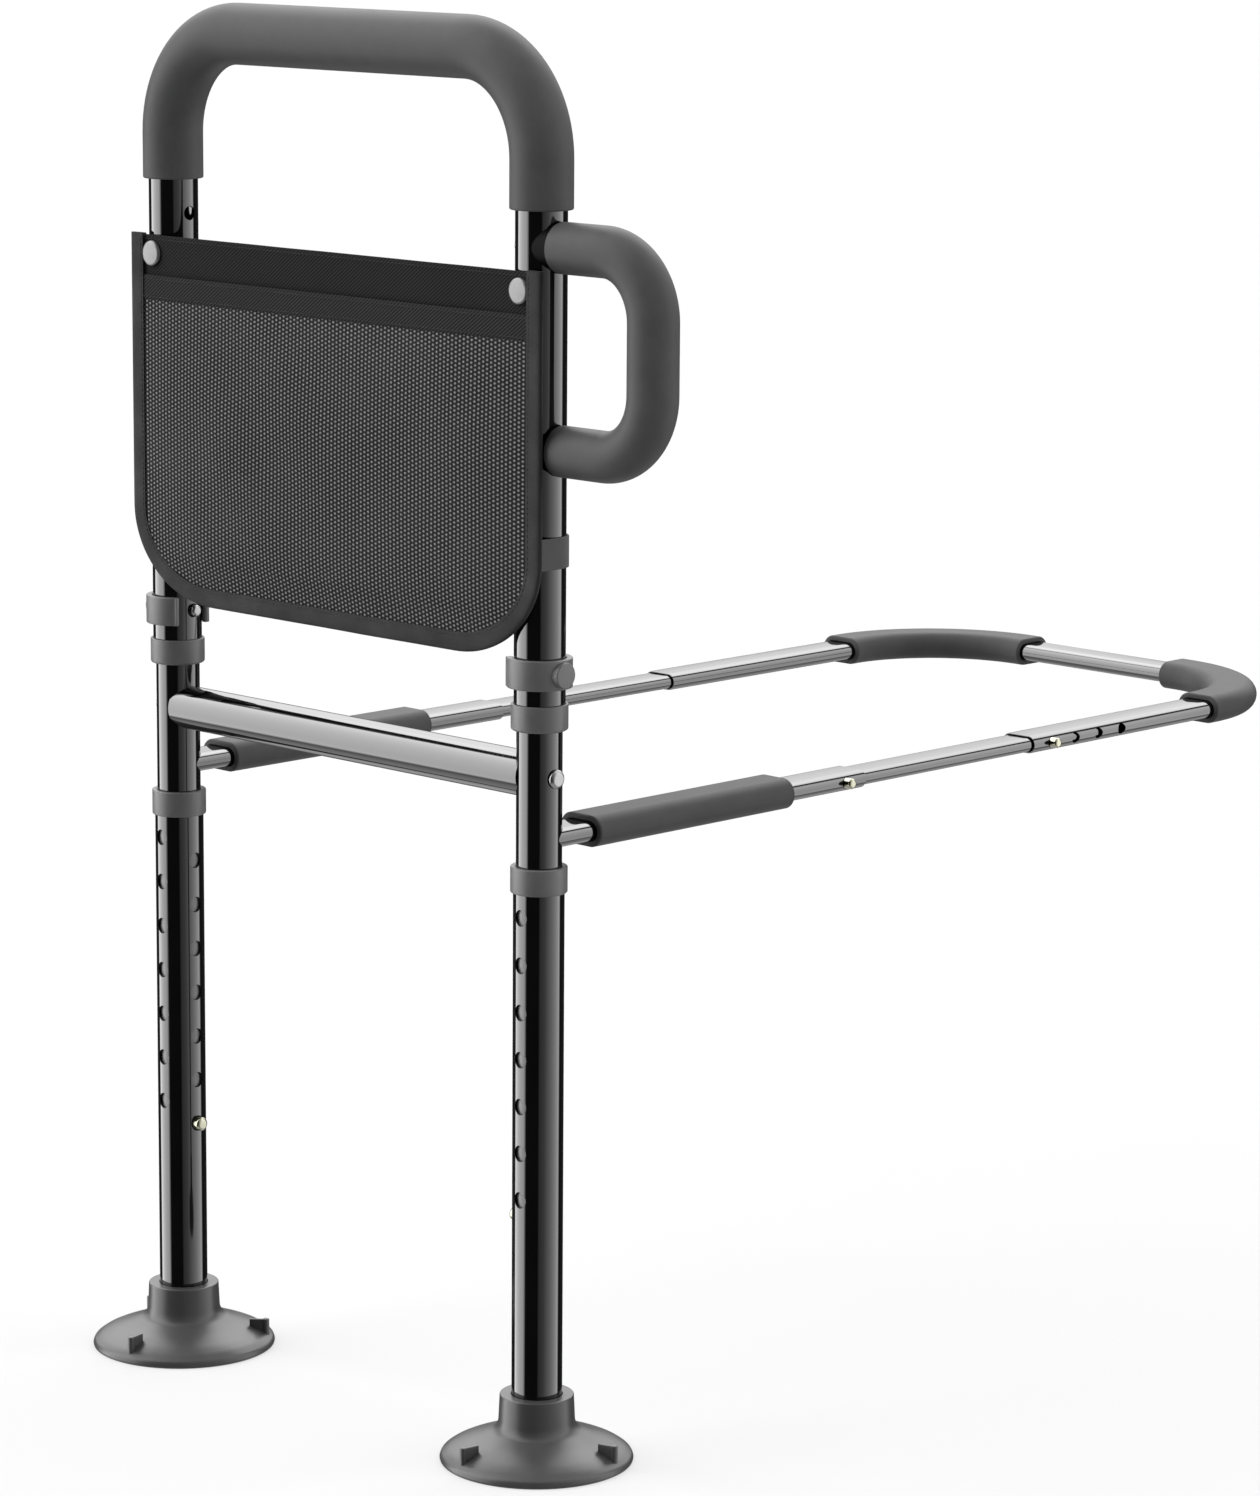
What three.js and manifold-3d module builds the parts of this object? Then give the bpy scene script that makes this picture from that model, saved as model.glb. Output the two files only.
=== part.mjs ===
// Bed assist rail: a telescopic two-leg frame with a foam-covered hand rail, a side handle,
// a storage pouch and a detachable loop that lies under the mattress.
// Millimetres, +Z up. X runs along the bed's side and +Y points into the bed. Heights below are
// measured from the floor, midway between the uprights; the finished part is then lowered so
// that its origin lies on the plane where the loop's sleeves rest on the bed's base.
import * as THREE from 'three';
import { mergeVertices } from 'three/addons/utils/BufferGeometryUtils.js';
import Module from 'manifold-3d';

const wasm = await Module();
wasm.setup();

// ---------- driving dimensions ----------
const GAP = 0.3; // between pieces that touch
const UPRIGHT_X = 170; // from the middle plane to each upright's axis
const TUBE_R = 16; // legs and upper frame, outside
const TUBE_WALL = 1.2;
const POST_R = 14.3; // telescoping posts and crossbar, outside
const HOLE_R = 4.9; // height holes
const BOLT_HOLE_R = 4.3;
const ROUND = 20; // facets round a tube
const SMALL_ROUND = 10; // facets round a hole, bolt or pin
const OVAL_ARC = 4; // half the facets round one end of a flat oval

const FOOT_R = 61.3;
const HUB_TOP_Z = 43;
const SOCKET_Z = 12;
const TAB_ANGLES = [-80, 42, 164]; // round the left foot; the right foot mirrors them
const LEG_TOP_Z = 379;
const COLLAR_H = 16.5;
const COLLAR_R = 17.8;
const LEG_COLLAR_Z = 366;
const UPPER_COLLAR_Z = 468;
const HOLE_PITCH = 30;
const HOLE_COUNT = 7;
const FRONT_HOLE_Z = 171.5; // lowest hole of the front column
const INNER_HOLE_Z = 156; // lowest hole of the inner column, where the button sits

const POST_BOTTOM_Z = 140;
const POST_TOP_Z = 548;
const CROSSBAR_Z = 438.7;
const PIN_Z = 504; // quick-release pin
const TOP_Z = 881.4; // axis of the hand rail
const TOP_BEND_R = 65;
const GRIP_R = 19.6;
const GRIP_END_Z = 786.5;

const HANDLE_UPPER_Z = 764.5;
const HANDLE_LOWER_Z = 641.5;
const HANDLE_REACH = 94.5; // from the upright's axis to the vertical limb's axis
const HANDLE_BEND_R = 40;
const HANDLE_TUBE_R = 11;
const HANDLE_FOAM_R = 15.8;
const HANDLE_FOAM_START = 17.9; // from the upright's axis to the foam's flat end
const HANDLE_SADDLE_R = 14.8; // spacer shaped to the upright, between it and the foam

const ARM_Z = 400; // middle plane of the bed loop
const BED_BASE_Z = 390; // underside of the loop's sleeves
const OUTER_OVAL = [28, 12]; // flat-oval tube: width, height
const INNER_OVAL = [25, 9.6];
const SLEEVE_OVAL = [36, 20];
const OVAL_WALL = 0.9;
const SLEEVE_START_Y = 36;
const SLEEVE_END_Y = 214.5;
const ROOT_END_Y = 287.5;
const MIDDLE_START_Y = 222;
const MIDDLE_END_Y = 530;
const LOOP_END_START_Y = 459.5;
const LOOP_BACK_Y = 759;
const LOOP_BEND_R = 95.5;
const ROOT_BUTTON_Y = 269;
const END_BUTTON_Y = 479;
const LOOP_PITCH = 25;
const LOOP_HOLES = 4;
const LOOP_HOLE_R = 3.8;
const CORNER_SLEEVE_REACH = 7; // straight part of a corner sleeve past the bend

const POUCH_HALF_W = 190;
const POUCH_BOTTOM_Z = 512;
const POUCH_TOP_Z = 750;
const POUCH_CORNER_R = 64;
const POUCH_BACK_Y = -16.4;
const CLOTH_T = 1.2;
const POCKET_DEPTH = 6;
const POCKET_MOUTH_Z = 721;
const BINDING_W = 11;
const SNAP_Z = 738.5;
const SNAP_R = 8.5;
const STRAP_Z = 579;
const STRAP_H = 19.5;

// ---------- materials ----------
const finish = (color, roughness, metalness) =>
  new THREE.MeshStandardMaterial({ color, roughness, metalness });
const blackPaint = () => finish(0x0b0b0c, 0.18, 0.4);
const foamGrey = () => finish(0x3c3c3d, 0.85, 0);
const plasticGrey = () => finish(0x4a4a4b, 0.6, 0);
const blackPlastic = () => finish(0x0c0c0d, 0.45, 0);
const rubberGrey = () => finish(0x474748, 0.7, 0);
const cloth = (color) => finish(color, 0.95, 0);
const chrome = () => finish(0xd8d8d8, 0.12, 1);
const zinc = () => finish(0xc9c2a0, 0.35, 0.9);
const springSteel = () => finish(0x9a9a9a, 0.4, 0.9);

// ---------- solids ----------
const assembly = new THREE.Group();

function addPiece(name, geometry, material) {
  const mesh = new THREE.Mesh(geometry, material);
  mesh.name = name;
  assembly.add(mesh);
  return mesh;
}

function toManifold(geometry) {
  const bare = geometry.clone();
  bare.deleteAttribute('normal');
  bare.deleteAttribute('uv');
  const merged = mergeVertices(bare, 1e-4);
  return new wasm.Manifold(new wasm.Mesh({
    numProp: 3,
    vertProperties: new Float32Array(merged.attributes.position.array),
    triVerts: new Uint32Array(merged.index.array),
  }));
}

function fromManifold(solid) {
  const mesh = solid.getMesh();
  const geometry = new THREE.BufferGeometry();
  geometry.setAttribute('position', new THREE.BufferAttribute(mesh.vertProperties, 3));
  geometry.setIndex(new THREE.BufferAttribute(mesh.triVerts, 1));
  geometry.computeVertexNormals();
  return geometry;
}

function cut(geometry, tools) {
  const solid = tools.reduce((left, tool) => left.subtract(toManifold(tool)), toManifold(geometry));
  return fromManifold(solid);
}

function join(geometries) {
  const [first, ...rest] = geometries.map(toManifold);
  return fromManifold(rest.reduce((sum, next) => sum.add(next), first));
}

// A turned piece: [radius, z] profile round the Z axis, closed on itself or ending on the axis.
function turned(profile, segments = ROUND) {
  const points = profile.map(([r, z]) => new THREE.Vector2(r, z));
  return new THREE.LatheGeometry(points, segments).rotateX(Math.PI / 2);
}

function pipe(outerR, innerR, z0, z1, segments = ROUND) {
  return turned([[innerR, z0], [outerR, z0], [outerR, z1], [innerR, z1], [innerR, z0]], segments);
}

function rod(r, z0, z1, segments = SMALL_ROUND) {
  return turned([[0, z0], [r, z0], [r, z1], [0, z1]], segments);
}

// Moves a piece made along Z so that it lies along +X or -X from (x, y, z).
function alongX(geometry, direction, x, y, z) {
  return geometry.rotateY(direction * Math.PI / 2).translate(x, y, z);
}

// ---------- swept tubes ----------
// A path given by stations, each with its own point and direction, so that a sweep has
// few sections on a straight and many in a bend.
class StationPath extends THREE.Curve {
  constructor(stations) {
    super();
    this.stations = stations;
  }
  station(t) {
    return this.stations[Math.round(t * (this.stations.length - 1))];
  }
  getPoint(t) {
    return this.station(t).point.clone();
  }
  getPointAt(t) {
    return this.getPoint(t);
  }
  getTangentAt(t) {
    return this.station(t).direction.clone();
  }
}

// Stations of a round bend in the plane of unit vectors a and b, swept from angle0 to angle1.
function bend(centre, a, b, radius, angle0, angle1, steps) {
  const turn = Math.sign(angle1 - angle0);
  return Array.from({ length: steps + 1 }, (_, i) => {
    const angle = angle0 + (angle1 - angle0) * i / steps;
    const outward = a.clone().multiplyScalar(Math.cos(angle)).addScaledVector(b, Math.sin(angle));
    const direction = a.clone().multiplyScalar(-Math.sin(angle)).addScaledVector(b, Math.cos(angle));
    return {
      point: centre.clone().addScaledVector(outward, radius),
      direction: direction.multiplyScalar(turn),
    };
  });
}

function straight(point, direction) {
  return { point: new THREE.Vector3(...point), direction: new THREE.Vector3(...direction) };
}

function sweep(shape, stations, curveSegments) {
  return new THREE.ExtrudeGeometry(shape, {
    steps: stations.length - 1,
    extrudePath: new StationPath(stations),
    curveSegments,
  });
}

function ringShape(outerR, innerR) {
  const shape = new THREE.Shape().absarc(0, 0, outerR, 0, 2 * Math.PI, false);
  shape.holes.push(new THREE.Path().absarc(0, 0, innerR, 0, 2 * Math.PI, true));
  return shape;
}

// Flat-oval outline with its width along the shape's Y, as sweeps in a level plane need.
function ovalOutline(path, width, height) {
  const r = height / 2;
  const half = width / 2 - r;
  path.absarc(0, half, r, 0, Math.PI, false);
  path.absarc(0, -half, r, Math.PI, 2 * Math.PI, false);
  path.closePath();
  return path;
}

function ovalShape([width, height], hollow) {
  const shape = ovalOutline(new THREE.Shape(), width, height);
  if (hollow) shape.holes.push(ovalOutline(new THREE.Path(), ...hollow));
  return shape;
}

const shrunk = ([width, height], by) => [width - 2 * by, height - 2 * by];

// A straight flat-oval tube along +Y at X = x in the loop's plane.
function ovalTube(outer, inner, x, y0, y1) {
  const stations = [straight([x, y0, ARM_Z], [0, 1, 0]), straight([x, y1, ARM_Z], [0, 1, 0])];
  return sweep(ovalShape(outer, inner), stations, OVAL_ARC);
}

// ---------- paths ----------
const X_AXIS = new THREE.Vector3(1, 0, 0);
const Y_AXIS = new THREE.Vector3(0, 1, 0);
const Z_AXIS = new THREE.Vector3(0, 0, 1);

// Inverted U of the hand rail: up the left upright, across, down the right one.
function railStations(bottomZ) {
  const centreX = UPRIGHT_X - TOP_BEND_R;
  const centreZ = TOP_Z - TOP_BEND_R;
  const left = new THREE.Vector3(-centreX, 0, centreZ);
  const right = new THREE.Vector3(centreX, 0, centreZ);
  return [
    straight([-UPRIGHT_X, 0, bottomZ], [0, 0, 1]),
    ...bend(left, X_AXIS, Z_AXIS, TOP_BEND_R, Math.PI, Math.PI / 2, 6),
    ...bend(right, X_AXIS, Z_AXIS, TOP_BEND_R, Math.PI / 2, 0, 6),
    straight([UPRIGHT_X, 0, bottomZ], [0, 0, -1]),
  ];
}

// The D-shaped side handle, from the upright out, down and back.
function handleStations(startX) {
  const limbX = UPRIGHT_X + HANDLE_REACH;
  const centreX = limbX - HANDLE_BEND_R;
  const upper = new THREE.Vector3(centreX, 0, HANDLE_UPPER_Z - HANDLE_BEND_R);
  const lower = new THREE.Vector3(centreX, 0, HANDLE_LOWER_Z + HANDLE_BEND_R);
  return [
    straight([startX, 0, HANDLE_UPPER_Z], [1, 0, 0]),
    ...bend(upper, X_AXIS, Z_AXIS, HANDLE_BEND_R, Math.PI / 2, 0, 5),
    ...bend(lower, X_AXIS, Z_AXIS, HANDLE_BEND_R, 0, -Math.PI / 2, 5),
    straight([startX, 0, HANDLE_LOWER_Z], [-1, 0, 0]),
  ];
}

function loopCorner(side, steps) {
  const centre = new THREE.Vector3(side * (UPRIGHT_X - LOOP_BEND_R), LOOP_BACK_Y - LOOP_BEND_R, ARM_Z);
  return side < 0
    ? bend(centre, X_AXIS, Y_AXIS, LOOP_BEND_R, Math.PI, Math.PI / 2, steps)
    : bend(centre, X_AXIS, Y_AXIS, LOOP_BEND_R, Math.PI / 2, 0, steps);
}

function loopEndStations() {
  return [
    straight([-UPRIGHT_X, LOOP_END_START_Y, ARM_Z], [0, 1, 0]),
    ...loopCorner(-1, 6),
    ...loopCorner(1, 6),
    straight([UPRIGHT_X, LOOP_END_START_Y, ARM_Z], [0, -1, 0]),
  ];
}

function cornerSleeveStations(side) {
  const corner = loopCorner(side, 6);
  const armY = LOOP_BACK_Y - LOOP_BEND_R - CORNER_SLEEVE_REACH;
  const backX = UPRIGHT_X - LOOP_BEND_R - CORNER_SLEEVE_REACH;
  const armEnd = straight([side * UPRIGHT_X, armY, ARM_Z], [0, side < 0 ? 1 : -1, 0]);
  const backEnd = straight([side * backX, LOOP_BACK_Y, ARM_Z], [1, 0, 0]);
  return side < 0 ? [armEnd, ...corner, backEnd] : [backEnd, ...corner, armEnd];
}

// ---------- upper frame ----------
function throughX(r, x, z) {
  return alongX(rod(r, -30, 30), 1, x, 0, z);
}

function buildUpperFrame() {
  const bores = [-1, 1].flatMap((side) => [
    throughX(BOLT_HOLE_R, side * UPRIGHT_X, HANDLE_UPPER_Z),
    throughX(BOLT_HOLE_R, side * UPRIGHT_X, HANDLE_LOWER_Z),
    throughX(BOLT_HOLE_R, side * UPRIGHT_X, PIN_Z),
  ]);
  const tubeBottom = UPPER_COLLAR_Z + 3.2;
  const tube = sweep(ringShape(TUBE_R, TUBE_R - TUBE_WALL), railStations(tubeBottom), ROUND / 2);
  addPiece('upper_frame_tube', cut(tube, bores), blackPaint());
  const foam = sweep(ringShape(GRIP_R, TUBE_R + GAP), railStations(GRIP_END_Z), 10);
  addPiece('top_grip_foam', foam, foamGrey());
}

// A collar on a tube's end: it guides the thinner post, with its lip over the tube's end.
// lipUp puts the lip at the top (leg collar) or at the bottom (upper collar).
function collar(lipUp) {
  const boreR = POST_R + GAP;
  const seatR = TUBE_R + GAP;
  const lipZ = 2.9;
  const profile = [
    [boreR, 0], [COLLAR_R - 1.8, 0], [COLLAR_R - 0.5, 0.8], [COLLAR_R, 2.4], [COLLAR_R, COLLAR_H],
    [seatR, COLLAR_H], [seatR, lipZ], [boreR, lipZ], [boreR, 0],
  ];
  if (!lipUp) return turned(profile);
  const seatTop = COLLAR_H - lipZ;
  return turned([
    [seatR, 0], [COLLAR_R - 0.6, 0], [COLLAR_R, 1.6], [COLLAR_R, COLLAR_H], [boreR, COLLAR_H],
    [boreR, seatTop], [seatR, seatTop], [seatR, 0],
  ]);
}

function buildSideHandle() {
  const uprightClear = rod(TUBE_R + GAP, 560, 840, ROUND).translate(UPRIGHT_X, 0, 0);
  const startX = UPRIGHT_X + 2;
  const foamX = UPRIGHT_X + HANDLE_FOAM_START;
  const tube = sweep(ringShape(HANDLE_TUBE_R, HANDLE_TUBE_R - 1.5), handleStations(startX), 8);
  addPiece('side_handle_tube', cut(tube, [uprightClear]), blackPaint());
  const foam = sweep(ringShape(HANDLE_FOAM_R, HANDLE_TUBE_R + GAP), handleStations(foamX), 8);
  addPiece('side_handle_foam', foam, foamGrey());
  const levels = [['upper', HANDLE_UPPER_Z], ['lower', HANDLE_LOWER_Z]];
  for (const [level, z] of levels) {
    const saddle = pipe(HANDLE_SADDLE_R, HANDLE_TUBE_R + GAP, 0, HANDLE_FOAM_START - GAP);
    const seated = cut(alongX(saddle, 1, UPRIGHT_X, 0, z), [uprightClear]);
    addPiece(`side_handle_saddle_${level}`, seated, blackPlastic());
    const plug = pipe(HANDLE_TUBE_R - 1.5 - GAP, BOLT_HOLE_R - 0.1, 0, 16, SMALL_ROUND);
    const plugX = UPRIGHT_X + TUBE_R + 2;
    addPiece(`side_handle_plug_${level}`, alongX(plug, 1, plugX, 0, z), springSteel());
    const bolt = domedBolt(6, 2.6, 50);
    const headX = UPRIGHT_X - TUBE_R - GAP;
    addPiece(`side_handle_bolt_${level}`, alongX(bolt, 1, headX, 0, z), chrome());
  }
}

// A domed bolt with the underside of its head at z = 0, its shank up +Z and its head below.
function domedBolt(headR, headH, shankLength) {
  const shankR = 3.8;
  return turned([
    [0, -headH], [headR * 0.55, -headH * 0.92], [headR * 0.88, -headH * 0.6], [headR, -headH * 0.2],
    [headR, 0], [shankR, 0], [shankR, shankLength], [0, shankLength],
  ], SMALL_ROUND);
}

// ---------- pouch ----------
// The pouch's outline in its own XZ plane, inset by a margin, from the bottom up to topZ.
function pouchOutline(path, inset, topZ) {
  const half = POUCH_HALF_W - inset;
  const bottom = POUCH_BOTTOM_Z + inset;
  const r = POUCH_CORNER_R - inset;
  path.moveTo(-half, topZ);
  path.lineTo(-half, bottom + r);
  path.absarc(-half + r, bottom + r, r, Math.PI, 1.5 * Math.PI, false);
  path.absarc(half - r, bottom + r, r, 1.5 * Math.PI, 2 * Math.PI, false);
  path.lineTo(half, topZ);
  path.closePath();
  return path;
}

// Extrudes an XZ outline so that it fills Y from yFront to yFront + depth.
function slab(shape, yFront, depth, curveSegments = 8) {
  const geometry = new THREE.ExtrudeGeometry(shape, { depth, bevelEnabled: false, curveSegments });
  return geometry.rotateX(Math.PI / 2).translate(0, yFront + depth, 0);
}

function buildPouch() {
  const backFrontY = POUCH_BACK_Y - CLOTH_T;
  const back = pouchOutline(new THREE.Shape(), 0, POUCH_TOP_Z);
  for (const side of [-1, 1]) {
    back.holes.push(new THREE.Path().absarc(side * UPRIGHT_X, SNAP_Z, 2.8, 0, 2 * Math.PI, true));
  }
  addPiece('pouch_back_panel', slab(back, backFrontY, CLOTH_T), cloth(0x2b2b2b));

  const panelY = backFrontY - POCKET_DEPTH - CLOTH_T;
  const front = pouchOutline(new THREE.Shape(), BINDING_W + GAP, POCKET_MOUTH_Z);
  addPiece('pouch_front_panel', slab(front, panelY, CLOTH_T), cloth(0x5a5a5a));

  const bindingDepth = backFrontY - GAP - panelY;
  const block = slab(pouchOutline(new THREE.Shape(), 0, POUCH_TOP_Z + 1.5), panelY, bindingDepth);
  const inside = pouchOutline(new THREE.Shape(), BINDING_W, POUCH_TOP_Z + 20);
  const opening = slab(inside, panelY - 1, bindingDepth + 2);
  addPiece('pouch_binding', cut(block, [opening]), cloth(0x363636));

  for (const side of [-1, 1]) {
    const name = side < 0 ? 'left' : 'right';
    const snap = turned([
      [0, -3.2], [SNAP_R * 0.5, -2.9], [SNAP_R * 0.85, -1.9], [SNAP_R, -0.6], [SNAP_R, 0],
      [2.4, 0], [2.4, CLOTH_T + 0.2], [0, CLOTH_T + 0.2],
    ], 16);
    snap.rotateX(-Math.PI / 2);
    snap.translate(side * UPRIGHT_X, backFrontY - GAP, SNAP_Z);
    addPiece(`pouch_snap_${name}`, snap, chrome());
    addPiece(`pouch_strap_${name}`, strap(side), cloth(0x606060));
  }
}

// A webbing strap that runs round the back of an upright and ends at the pouch's back panel.
function strap(side) {
  const innerR = TUBE_R + GAP;
  const outerR = innerR + 1.5;
  const endY = POUCH_BACK_Y + GAP;
  const shape = new THREE.Shape();
  shape.moveTo(outerR, endY);
  shape.absarc(0, 0, outerR, 0, Math.PI, false);
  shape.lineTo(-outerR, endY);
  shape.lineTo(-innerR, endY);
  shape.absarc(0, 0, innerR, Math.PI, 0, true);
  shape.lineTo(innerR, endY);
  shape.closePath();
  const band = new THREE.ExtrudeGeometry(shape, { depth: STRAP_H, bevelEnabled: false, curveSegments: 8 });
  return band.translate(side * UPRIGHT_X, 0, STRAP_Z - STRAP_H / 2);
}

// ---------- posts and crossbar ----------
function buildPost(side, name) {
  const x = side * UPRIGHT_X;
  const post = pipe(POST_R, POST_R - TUBE_WALL, POST_BOTTOM_Z, POST_TOP_Z).translate(x, 0, 0);
  const buttonHole = alongX(rod(HOLE_R, 0, 30), -side, x, 0, INNER_HOLE_Z);
  const bores = [buttonHole, throughX(BOLT_HOLE_R, x, CROSSBAR_Z), throughX(BOLT_HOLE_R, x, PIN_Z)];
  addPiece(`post_${name}`, cut(post, bores), blackPaint());
  addPiece(`upper_collar_${name}`, collar(false).translate(x, 0, UPPER_COLLAR_Z), plasticGrey());
}

function buildCrossbar() {
  const reach = UPRIGHT_X - POST_R + 8;
  const saddles = [-1, 1].map((side) =>
    rod(POST_R + GAP, 400, 480, ROUND).translate(side * UPRIGHT_X, 0, 0));
  const bar = alongX(pipe(POST_R, POST_R - TUBE_WALL, -reach, reach), 1, 0, 0, CROSSBAR_Z);
  addPiece('crossbar', cut(bar, saddles), blackPaint());
  for (const side of [-1, 1]) {
    const name = side < 0 ? 'left' : 'right';
    const plugR = POST_R - TUBE_WALL - GAP;
    const insert = pipe(plugR, BOLT_HOLE_R - 0.1, reach - 30, reach, SMALL_ROUND);
    const plug = alongX(insert, side, 0, 0, CROSSBAR_Z);
    addPiece(`crossbar_plug_${name}`, cut(plug, saddles), plasticGrey());
    const bolt = domedBolt(6, 3, 46);
    const headX = side * (UPRIGHT_X + POST_R + GAP);
    addPiece(`crossbar_bolt_${name}`, alongX(bolt, -side, headX, 0, CROSSBAR_Z), chrome());
  }
}

// ---------- legs ----------
function buildLeg(side, name) {
  const x = side * UPRIGHT_X;
  const bottom = SOCKET_Z + GAP;
  const tube = pipe(TUBE_R, TUBE_R - TUBE_WALL, bottom, LEG_TOP_Z).translate(x, 0, 0);
  const holes = [];
  for (let i = 0; i < HOLE_COUNT; i += 1) {
    const rise = i * HOLE_PITCH;
    holes.push(alongX(rod(HOLE_R, 0, 30), -side, x, 0, INNER_HOLE_Z + rise));
    holes.push(rod(HOLE_R, 0, 30).rotateX(Math.PI / 2).translate(x, 0, FRONT_HOLE_Z + rise));
  }
  addPiece(`leg_tube_${name}`, cut(tube, holes), blackPaint());
  addPiece(`leg_collar_${name}`, collar(true).translate(x, 0, LEG_COLLAR_Z), plasticGrey());
  addPiece(`foot_${name}`, foot(side).translate(x, 0, 0), rubberGrey());
  addPiece(`leg_button_${name}`, legButton(side, x), zinc());
  addPiece(`leg_button_spring_${name}`, legSpring(side, x), springSteel());
}

// Rubber suction foot: a hub with a socket for the leg, a thin cup and three release tabs.
function foot(side) {
  const outside = turned([
    [0, 0], [FOOT_R - 0.4, 0], [FOOT_R, 1.6], [FOOT_R - 0.8, 3.6], [58.4, 5.6], [55, 7.8], [50, 10.1],
    [43.7, 12.5], [36, 15.3], [30, 17.6], [27, 19.8], [25.2, 23], [24.2, 28], [23.4, HUB_TOP_Z],
    [0, HUB_TOP_Z],
  ], 28);
  const tabs = TAB_ANGLES.map((degrees) => {
    const angle = degrees * Math.PI / 180;
    return releaseTab().rotateZ(side < 0 ? angle : Math.PI - angle);
  });
  const socket = rod(TUBE_R + GAP, SOCKET_Z, HUB_TOP_Z + 5, ROUND);
  const cup = turned([[0, -1], [52, -1], [52, 0], [46, 1.6], [36, 4], [24, 6], [0, 6.6]], ROUND);
  return cut(join([outside, ...tabs]), [socket, cup]);
}

function releaseTab() {
  const innerR = 44.5;
  const outerR = 58;
  const ribR = 2.3;
  const topZ = 17;
  const plate = new THREE.BoxGeometry(outerR - ribR - innerR, 2.6, topZ - 3);
  plate.translate((innerR + outerR - ribR) / 2, 0, (topZ + 3) / 2);
  return join([plate, rod(ribR, 3, topZ).translate(outerR - ribR, 0, 0)]);
}

// A round spring button, made along +Z from its flange at z = 0 to the tip of its dome.
function springButton(stemR, flangeR, tipZ) {
  return turned([
    [0, 0], [flangeR, 0], [flangeR, 1], [stemR, 1], [stemR, tipZ - 2.2], [stemR * 0.82, tipZ - 0.9],
    [stemR * 0.45, tipZ - 0.2], [0, tipZ],
  ], SMALL_ROUND);
}

function legButton(side, x) {
  const flangeX = 10.1;
  const tipX = 21.6;
  const button = springButton(HOLE_R - 0.4, 5.9, tipX - flangeX);
  return alongX(button, -side, x - side * flangeX, 0, INNER_HOLE_Z);
}

// A bent strip: [along, across] centreline points in a plane, given a thickness.
function stripShape(points, thickness) {
  const shape = new THREE.Shape();
  const near = points.map(([a, b]) => [a, b - thickness / 2]);
  const far = points.map(([a, b]) => [a, b + thickness / 2]).reverse();
  [...near, ...far].forEach(([a, b], i) => (i ? shape.lineTo(a, b) : shape.moveTo(a, b)));
  shape.closePath();
  return shape;
}

// V-shaped leaf that pushes a button out; width is its size across the strip.
function leafSpring(buttonFace, farFace, length, width) {
  const thickness = 0.7;
  const middle = (buttonFace + farFace) / 2;
  const points = [[6, buttonFace], [-6, buttonFace], [-length, middle]];
  const back = [[-length, middle - 1.2], [-6, farFace], [6, farFace]];
  const arm = (list) => new THREE.ExtrudeGeometry(stripShape(list, thickness), {
    depth: width, bevelEnabled: false,
  }).translate(0, 0, -width / 2);
  const heel = new THREE.BoxGeometry(thickness, 2.4, width).translate(-length, middle - 0.6, 0);
  return join([arm(points), arm(back), heel]);
}

function legSpring(side, x) {
  const spring = leafSpring(9.4, -11.4, 34, 7);
  spring.rotateZ(Math.PI / 2).rotateX(Math.PI / 2);
  if (side < 0) spring.rotateZ(Math.PI);
  return spring.translate(x, 0, INNER_HOLE_Z);
}

// ---------- bed loop ----------
function sideHole(side, y) {
  return alongX(rod(LOOP_HOLE_R, 0, 30, 12), side, side * UPRIGHT_X, y, ARM_Z);
}

function loopButton(side, y) {
  const flangeX = 7.6;
  const tipX = 19.6;
  const button = springButton(LOOP_HOLE_R - 0.4, 3.9, tipX - flangeX);
  return alongX(button, side, side * (UPRIGHT_X + flangeX), y, ARM_Z);
}

function loopSpring(side, y) {
  const spring = leafSpring(6.9, -10.1, 26, 4.4);
  spring.rotateZ(side < 0 ? Math.PI / 2 : -Math.PI / 2);
  return spring.translate(side * UPRIGHT_X, y, ARM_Z);
}

function buildArm(side, name) {
  const x = side * UPRIGHT_X;
  const postClear = rod(POST_R + GAP, 380, 420, ROUND).translate(x, 0, 0);
  const root = ovalTube(OUTER_OVAL, shrunk(OUTER_OVAL, OVAL_WALL), x, 4, ROOT_END_Y);
  addPiece(`arm_root_${name}`, cut(root, [postClear, sideHole(side, ROOT_BUTTON_Y)]), blackPaint());
  const bore = shrunk(OUTER_OVAL, -GAP);
  const sleeve = ovalTube(SLEEVE_OVAL, bore, x, SLEEVE_START_Y, SLEEVE_END_Y);
  addPiece(`arm_sleeve_${name}`, sleeve, rubberGrey());

  const middle = ovalTube(INNER_OVAL, shrunk(INNER_OVAL, OVAL_WALL), x, MIDDLE_START_Y, MIDDLE_END_Y);
  const holes = [sideHole(side, ROOT_BUTTON_Y), sideHole(side, END_BUTTON_Y)];
  addPiece(`arm_middle_${name}`, cut(middle, holes), blackPaint());
  for (const [place, y] of [['root', ROOT_BUTTON_Y], ['end', END_BUTTON_Y]]) {
    addPiece(`loop_button_${place}_${name}`, loopButton(side, y), zinc());
    addPiece(`loop_spring_${place}_${name}`, loopSpring(side, y), springSteel());
  }
  const corner = sweep(ovalShape(SLEEVE_OVAL, bore), cornerSleeveStations(side), OVAL_ARC);
  addPiece(`corner_sleeve_${name}`, corner, rubberGrey());
}

function buildLoopEnd() {
  const tube = sweep(ovalShape(OUTER_OVAL, shrunk(OUTER_OVAL, OVAL_WALL)), loopEndStations(), OVAL_ARC);
  const holes = [-1, 1].flatMap((side) =>
    Array.from({ length: LOOP_HOLES }, (_, i) => sideHole(side, END_BUTTON_Y + i * LOOP_PITCH)));
  addPiece('loop_end_tube', cut(tube, holes), blackPaint());
}

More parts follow.
